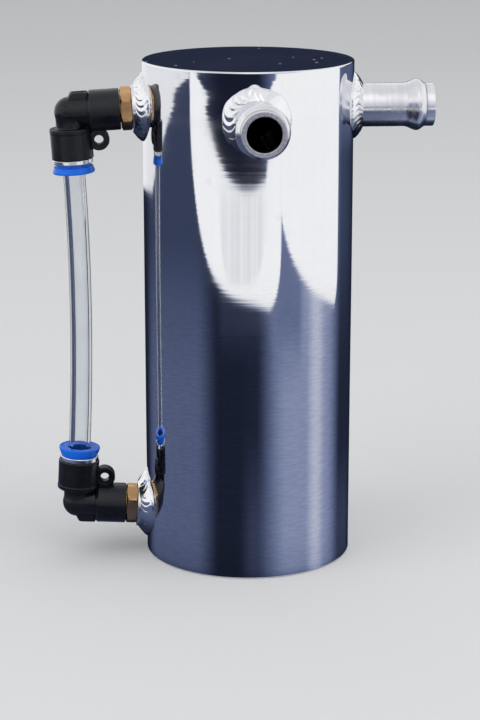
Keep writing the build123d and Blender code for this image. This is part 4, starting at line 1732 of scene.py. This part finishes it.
@dataclass
class Board:
    """A board of the studio on the dark table, for the polished wall to show.

    Its place is given as the wall shows it: by the bearing that the wall throws the camera's sight to, in
    degrees from the front towards the side barb, and by the distance from the wall, in metres.

    Attributes:
        first: Bearing of one side.
        last: Bearing of the other side.
        level: Brightness.
        near: Distance of its near edge, where that lies nearest.
        tip: Bearing of that place.
        first_slope: How much farther the near edge lies at the first side, as a straight line.
        first_corner: How much farther the rounded corner there reaches.
        last_slope: The same straight rise at the last side.
        last_corner: The same corner there.
        first_power: How late the first side's corner bends.
        soft: Half width in degrees of the soft first and last sides.
        blur: Half width of the near edge, in metres.
        far_level: Brightness farther out, where that differs.
        fade: Distances between which it changes to that.
        far: Distance of its far edge in front of the can, where that shows.
        far_tilt: How much farther that edge runs out for each step towards the side barb.
        far_until: Bearing up to which the far edge shows.
        far_lean: How much that bearing grows in each metre farther out.
        far_blur: Half width of the far edge, in metres.
        far_soft: Half width in degrees of its end.
        streaked: Share of it that streaks break up.
    """

    first: float
    last: float
    level: float = 1.1
    near: float = 0.0
    tip: float = 0.0
    first_slope: float = 0.0
    first_corner: float = 0.0
    last_slope: float = 0.0
    last_corner: float = 0.0
    first_power: float = 6.0
    soft: tuple[float, float] = (1.2, 1.2)
    blur: float = 0.01
    far_level: Optional[float] = None
    fade: tuple[float, float] = (0.2, 0.6)
    far: float = 9.0
    far_tilt: float = 0.0
    far_until: float = -200.0
    far_lean: float = 0.0
    far_blur: float = 0.015
    far_soft: float = 1.5
    streaked: float = 0.0

    def cover(self, bearing: np.ndarray, distance: np.ndarray) -> np.ndarray:
        """Share of the board at points of the table: one on it, falling to zero across soft edges.

        The near edge rises from the tip by slope u + corner (1 - sqrt(1 - u^p)) with u from 0 to 1 at the
        first side, and by slope v + corner (1 - sqrt(1 - v^2)) with v from 0 to 1 at the last. The far
        edge is a straight line, at far / (cos - tilt sin) of the bearing.

        Args:
            bearing: Bearings in degrees.
            distance: Distances from the wall in metres.

        Returns:
            Shares from zero to one.
        """
        off = (bearing - self.first + 180.0) % 360.0 - 180.0
        width = self.last - self.first
        inside = smooth_step(-self.soft[0], self.soft[0], off)
        inside = inside * smooth_step(-self.soft[1], self.soft[1], width - off)
        u = np.clip((self.tip - bearing) / max(1.0, self.tip - self.first), 0.0, 1.0)
        v = np.clip((bearing - self.tip) / max(1.0, self.last - self.tip), 0.0, 1.0)
        edge = self.near + self.first_slope * u + self.first_corner * (1 - np.sqrt(1 - u**self.first_power))
        edge = edge + self.last_slope * v + self.last_corner * (1 - np.sqrt(1 - v**2))
        inside = inside * smooth_step(-self.blur, self.blur, distance - edge)
        angle = np.radians(bearing)
        line = self.far / np.maximum(LEAST_SLOPE, np.cos(angle) - self.far_tilt * np.sin(angle))
        until = self.far_until + self.far_lean * np.maximum(0.0, distance - self.far)
        beyond = smooth_step(-self.far_blur, self.far_blur, distance - line)
        beyond = beyond * smooth_step(-self.far_soft, self.far_soft, until - bearing)
        return inside * (1 - beyond) * (1 - self.streaked * streaks(bearing))

    def brightness(self, distance: np.ndarray) -> np.ndarray:
        """Brightness of the board at distances from the wall."""
        far_level = self.level if self.far_level is None else self.far_level
        return self.level + (far_level - self.level) * smooth_step(*self.fade, distance)


@dataclass(frozen=True)
class Lamp:
    """A large soft lamp of the studio.

    Attributes:
        name: Name of the lamp.
        place: Its place in metres.
        size: Width of its square, in metres.
        power: Its power in watts.
    """

    name: str
    place: Triple
    size: float
    power: float


# Boards on the table, each laid over those before it: first the soft greys of the lower wall

BOARDS = (
    Board(100.0, 150.0, level=0.052, far_level=0.022, fade=(0.02, 0.16), soft=(6.0, 12.0)),
    Board(-6.0, 24.0, level=0.055, soft=(10.0, 8.0), far_level=0.02, fade=(0.01, 0.2)),
    Board(
        -36.0, 33.0, level=0.035, near=0.34, blur=0.06, soft=(6.0, 6.0), far_level=0.013, fade=(0.42, 0.55),
    ),
    Board(-146.0, -51.0, level=0.125, soft=(14.0, 15.0), far_level=0.055, fade=(0.2, 0.62)),
    Board(108.0, 142.0, level=0.06, near=0.45, blur=0.25, soft=(4.0, 24.0)),
    Board(112.0, 150.0, level=0.115, near=1.0, blur=0.12, soft=(4.0, 12.0)),
    Board(23.0, 106.0, level=0.31, soft=(19.0, 16.0)),
    Board(24.0, 57.0, level=0.17, near=0.31, blur=0.09, soft=(8.0, 5.0)),
    Board(69.0, 86.0, level=0.54, soft=(7.0, 7.0)),
    # White boards of the upper wall
    Board(
        -70.0, 31.8, level=1.0, near=0.411, tip=18.0, first_slope=0.06, first_corner=0.72, last_corner=0.15,
        far=0.79, far_tilt=0.09, far_until=13.5, far_lean=19.0,
    ),
    Board(
        -36.0, 13.0, level=0.8, near=0.475, tip=-6.0, first_corner=0.3, last_corner=0.12, soft=(9.0, 6.0),
        blur=0.02, far_level=1.0, fade=(0.66, 0.95), far=0.79, far_tilt=0.09, far_until=13.5, far_lean=19.0,
        streaked=0.6,
    ),
    Board(
        31.0, 112.0, level=1.0, near=0.41, tip=105.0, first_slope=0.06, first_corner=0.25, first_power=3.0,
        last_corner=0.1,
    ),
    # White boards behind the can
    Board(172.0, 212.0, level=0.9, near=0.75),
    Board(-149.0, -70.0, level=0.86, near=0.75, tip=-135.0, last_slope=0.63),
)
SIDE_PANELS = (Board(-168.0, -50.0, soft=(8.0, 10.0)), Board(48.0, 122.0, soft=(10.0, 8.0)))
BACK_SCREEN = Board(122.0, 192.0, soft=(6.0, 6.0))
WINDOW = Board(-14.0, 24.0, soft=(10.0, 10.0))
LAMPS = (
    Lamp("left_lamp", (-0.95, -0.55, 0.85), 1.0, 3.6),
    Lamp("right_lamp", (1.05, -0.45, 0.95), 1.0, 3.0),
    Lamp("top_lamp", (0.1, 0.15, 1.5), 1.4, 4.0),
)
LAMP_TARGET = np.array([0.0, 0.0, 0.09])
TABLE_GRID = (680, 961)  # rows outwards and columns round the can
PANEL_GRID = (35, 360)  # rows upwards and columns round the can
CEILING_ROWS = 24
CARD_GRID = (12, 35)  # rows outwards and columns round the tube


@dataclass
class Studio:
    """Floor, light, camera, and the table, panels and boards that only show as reflections.

    Attributes:
        can: The can that the table lies round.
        camera_place: Camera's place in metres.
        camera_turn: Camera's turn in degrees.
        lens: Focal length in millimetres.
        sensor: Long side of the camera's sensor, in millimetres.
        floor: Half width of the floor in metres.
        floor_drop: How far the floor lies under the base, in millimetres.
        floor_colour: Colour of the floor.
        sky: Colour of the surroundings.
        sky_level: Strength of the surroundings.
        table_level: Brightness of the bare table.
        table_lift: Height of the table over the base, in millimetres.
        table_span: Distances of its near and far edges from the wall, in metres.
        foot_shade: How much darker it is at the can's foot.
        foot_reach: Distance over which that fades, in metres.
        streak: How much the table's brightness varies in streaks.
        front_level: Brightness of the panel behind the camera.
        front_fade: Heights between which that panel turns white, in metres.
        back_level: Brightness of the dark screen behind the can.
        window_level: Brightness of the foot of the window in front.
        window_rise: How much brighter the window gets in each metre up.
        ceiling_level: Brightness of the ceiling.
        ceiling_fade: Distances between which the window runs on into the ceiling, in metres.
        card_level: Brightness of the card beside the sight tube.
        card_bearings: Bearings of the card's sides in degrees.
        card_span: Distances of its near and far edges from the tube, in millimetres.
        card_rise: Height in millimetres that it would have at the tube's middle, and its slope.
        tube_place: Place of the sight tube along X, in millimetres.
        panel_reach: Distance of the panels round the table, in metres.
        panel_height: Height of the panels and the ceiling, in metres.
        back_height: Height of the dark screen behind the can, in metres.
        back_blur: Half width of the screen's upper edge, in metres.
        red_loss: How much less red the darkest sheets are.
        blue_gain: How much bluer they are.
    """

    can: Can
    camera_place: Triple = (-0.06175, -0.75428, 0.2768)
    camera_turn: Triple = (74.87, 0.0, -4.459)
    lens: float = 105.32
    sensor: float = 36.0
    floor: float = 14.0
    floor_drop: float = 0.02
    floor_colour: Colour = (0.82, 0.82, 0.82)
    sky: Colour = (0.92, 0.94, 0.96)
    sky_level: float = 0.6
    table_level: float = 0.016
    table_lift: float = 0.05
    table_span: tuple[float, float] = (0.0005, 6.0)
    foot_shade: float = 0.2
    foot_reach: float = 0.05
    streak: float = 0.018
    front_level: float = 0.25
    front_fade: tuple[float, float] = (0.45, 0.75)
    back_level: float = 0.025
    window_level: float = 0.58
    window_rise: float = 0.365
    ceiling_level: float = 0.85
    ceiling_fade: tuple[float, float] = (0.3, 1.1)
    card_level: float = 0.07
    card_bearings: tuple[float, float] = (-165.0, -80.0)
    card_span: tuple[float, float] = (8.0, 450.0)
    card_rise: tuple[float, float] = (0.3, 0.55)
    tube_place: float = -63.5
    panel_reach: float = 1.9
    panel_height: float = 1.7
    back_height: float = 0.62
    back_blur: float = 0.08
    red_loss: float = 0.26
    blue_gain: float = 1.05

    def build(self) -> None:
        """Builds the whole studio."""
        self.build_camera()
        self.build_floor()
        self.build_light()
        self.build_table()
        self.build_panels()
        self.build_card()

    def build_camera(self) -> None:
        """Puts the camera at the photograph's viewing angle."""
        data = bpy.data.cameras.new("camera")
        data.lens = self.lens
        data.sensor_width = self.sensor
        camera = bpy.data.objects.new("camera", data)
        camera.location = self.camera_place
        camera.rotation_euler = np.radians(self.camera_turn)
        bpy.context.scene.collection.objects.link(camera)
        bpy.context.scene.camera = camera

    def build_floor(self) -> None:
        """Lays the plain pale floor."""
        edge = np.linspace(-self.floor, self.floor, 3) / MM
        x, y = np.meshgrid(edge, edge, indexing="ij")
        points = np.stack([x, y, 0 * x - self.floor_drop], axis=-1)
        floor = make_piece("floor", Grid(points, False, False))
        made = bpy.data.materials.new("floor")
        made.use_nodes = True
        shader = made.node_tree.nodes["Principled BSDF"]
        shader.inputs["Base Color"].default_value = (*self.floor_colour, 1.0)
        shader.inputs["Roughness"].default_value = 1.0
        shader.inputs["Specular IOR Level"].default_value = 0.0
        floor.data.materials.append(made)

    def build_light(self) -> None:
        """Sets the surroundings and the lamps.

        Reflections see the panels instead of the lamps.
        """
        scene = bpy.context.scene
        scene.view_settings.view_transform = "Standard"
        world = bpy.data.worlds.new("surroundings")
        world.use_nodes = True
        background = world.node_tree.nodes["Background"]
        background.inputs["Color"].default_value = (*self.sky, 1.0)
        background.inputs["Strength"].default_value = self.sky_level
        scene.world = world
        for lamp in LAMPS:
            data = bpy.data.lights.new(lamp.name, "AREA")
            data.shape = "SQUARE"
            data.size = lamp.size
            data.energy = lamp.power
            made = bpy.data.objects.new(lamp.name, data)
            made.location = lamp.place
            made.rotation_euler = aim(np.array(lamp.place), LAMP_TARGET)
            made.visible_glossy = False
            scene.collection.objects.link(made)

    def build_table(self) -> None:
        """Lays the dark table with its grey and white boards.

        Its columns are the rays that the wall throws the camera's sight along: from the wall's point at
        bearing (b + c) / 2 in the direction of bearing b, where c is the camera's bearing. So a straight
        board lies straight in the wall's reflection. All of it shows only in reflections, and the floor
        stays pale to the camera.
        """
        view = np.degrees(np.arctan2(self.camera_place[0], -self.camera_place[1]))
        rows, columns = TABLE_GRID
        bearing = view + np.linspace(-180.0, 180.0, columns)[None, :]
        distance = np.geomspace(*self.table_span, rows)[:, None]
        level = self.table_level + 0 * bearing + 0 * distance
        for board in BOARDS:
            share = board.cover(bearing, distance)
            level = level * (1 - share) + board.brightness(distance) * share
        lit = 1 - self.foot_shade + self.foot_shade * smooth_step(0.0, self.foot_reach, distance)
        level = level * (1 - self.streak * streaks(bearing)) * lit
        out = np.radians(bearing)
        foot = np.radians((bearing + view) / 2)
        reach = distance / MM
        x = self.can.radius * np.sin(foot) + reach * np.sin(out)
        y = -self.can.radius * np.cos(foot) - reach * np.cos(out)
        points = np.stack([x, y, self.table_lift + 0 * x], axis=-1)
        self.show_in_reflections("table", Grid(points, rows_closed=False), level)

    def build_panels(self) -> None:
        """Stands white panels left and right of the table and a dark one behind, with a pale ceiling.

        Between them the panels are grey below and white above, with a bright window in front of the can
        that runs on into the ceiling. They show only in reflections.
        """
        rows, columns = PANEL_GRID
        bearing = np.linspace(-180.0, 180.0, columns, endpoint=False)[None, :]
        rise = np.linspace(0.0, self.panel_height, rows)[:, None]
        away = 1.0 + 0 * rise
        whiter = (1 - self.front_level) * smooth_step(*self.front_fade, rise)
        level = self.front_level + whiter + 0 * bearing
        for side in SIDE_PANELS:
            share = side.cover(bearing, away)
            level = level * (1 - share) + share
        back = BACK_SCREEN.cover(bearing, away)
        back = back * smooth_step(-self.back_blur, self.back_blur, self.back_height - rise)
        level = level * (1 - back) + self.back_level * back
        window = WINDOW.cover(bearing, away)
        level = level * (1 - window) + (self.window_level + self.window_rise * rise) * window
        angle = np.radians(bearing)
        reach = self.panel_reach / MM
        x, y, z = np.broadcast_arrays(reach * np.sin(angle), -reach * np.cos(angle), rise / MM)
        self.show_in_reflections("panels", Grid(np.stack([x, y, z], axis=-1), rows_closed=False), level)
        radius = np.linspace(0.0, reach, CEILING_ROWS)[:, None]
        x, y = radius * np.sin(angle), -radius * np.cos(angle)
        points = np.stack([x, y, self.panel_height / MM + 0 * x], axis=-1)
        most = self.window_level + self.window_rise * self.panel_height
        towards = window[:1] * smooth_step(*self.ceiling_fade, radius * MM)
        level = self.ceiling_level + (most - self.ceiling_level) * towards
        self.show_in_reflections("ceiling", Grid(points, rows_closed=False), level)

    def build_card(self) -> None:
        """Sets a dim card beside the sight tube, a part of a funnel, for the tube's image in the wall.

        Only light that has come through the tube sees it.
        """
        rows, columns = CARD_GRID
        bearing = np.radians(np.linspace(*self.card_bearings, columns))[None, :]
        reach = np.linspace(*self.card_span, rows)[:, None]
        x = self.tube_place + reach * np.sin(bearing)
        y = -reach * np.cos(bearing)
        foot, slope = self.card_rise
        points = np.stack([x, y, foot + slope * reach + 0 * bearing], axis=-1)
        level = self.card_level + 0 * x
        self.show_in_reflections("card", Grid(points, False, False), level, through=True)

    def show_in_reflections(self, name: str, grid: Grid, level: np.ndarray, through: bool = False) -> None:
        """Adds a glowing sheet that only reflections see, bluer the darker it is.

        Args:
            name: Name of the sheet.
            grid: Its surface.
            level: Its brightness at each point of the grid.
            through: Whether only light through the clear tube sees it instead.
        """
        dark = np.clip(1 - level, 0.0, 1.0)
        grid.marks = {
            "red": level * (1 - self.red_loss * dark**2),
            "green": level,
            "blue": level * (1.0 + self.blue_gain * dark**2),
        }
        sheet = make_piece(name, grid)
        made = bpy.data.materials.new(name)
        made.use_nodes = True
        made.node_tree.nodes.clear()
        wiring = Wiring(made.node_tree)
        shares = {
            part.capitalize(): wiring.node("ShaderNodeAttribute", attribute_name=part).outputs["Fac"]
            for part in grid.marks
        }
        shade = wiring.node("ShaderNodeCombineColor", shares).outputs["Color"]
        light = wiring.node("ShaderNodeEmission", {"Color": shade})
        wiring.node("ShaderNodeOutputMaterial", {"Surface": light.outputs["Emission"]})
        sheet.data.materials.append(made)
        sheet.visible_camera = False
        sheet.visible_diffuse = False
        sheet.visible_glossy = not through
        sheet.visible_transmission = through
        sheet.visible_volume_scatter = False
        sheet.visible_shadow = False


def aim(place: np.ndarray, target: np.ndarray) -> Triple:
    """Turn that points an object's -Z from a place to a target.

    The tilt from straight down is the angle between the line and the vertical, and the heading is the
    line's bearing in plan.

    Args:
        place: Where the object stands.
        target: Point that it faces.

    Returns:
        Euler angles in radians.
    """
    line = target - place
    tilt = np.arctan2(np.hypot(line[0], line[1]), -line[2])
    heading = np.arctan2(line[1], line[0]) - np.pi / 2
    return (tilt, 0.0, heading)


def main() -> None:
    """Builds the can's pieces in order, then the studio round it."""
    logging.basicConfig(level=logging.INFO, format="%(name)s %(message)s")
    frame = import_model()
    nodes = frame["nodes"]
    can = Can()
    can.build_wall()
    can.build_plates()
    barbs = (
        ("front", can.front_port, {"ripples": 20, "relief": 0.26, "seed": 0.4, "bow": -0.8}),
        ("side", can.side_port, {"ripples": 28, "seed": 3.0}),
    )
    barb = HoseBarb()
    for name, port, bead in barbs:
        barb.build(port, f"{name}_barb", f"{name}_hose_barb")
        weld = WeldRing(can=can, port=port, spigot=barb.spigot, leg=barb.weld_leg, **bead)
        weld.build(f"{name}_barb_bead", f"{name}_barb_weld")
    upper_bead = {"seed": 2.0, "peak": 0.25, "peak_turn": np.pi}
    lower_bead = {"seed": 4.1, "peak": 0.8}
    upper = GaugeFitting(can, Level.UPPER, hex_turn=58.3, bung_bead=upper_bead)
    lower = GaugeFitting(can, Level.LOWER, hex_turn=56.5, bung_bead=lower_bead)
    upper.build()
    lower.build()
    SightTube(upper).build()
    Bracket(can, nodes).build()
    dress_hidden(nodes)
    Studio(can).build()


if __name__ == "__main__":
    main()
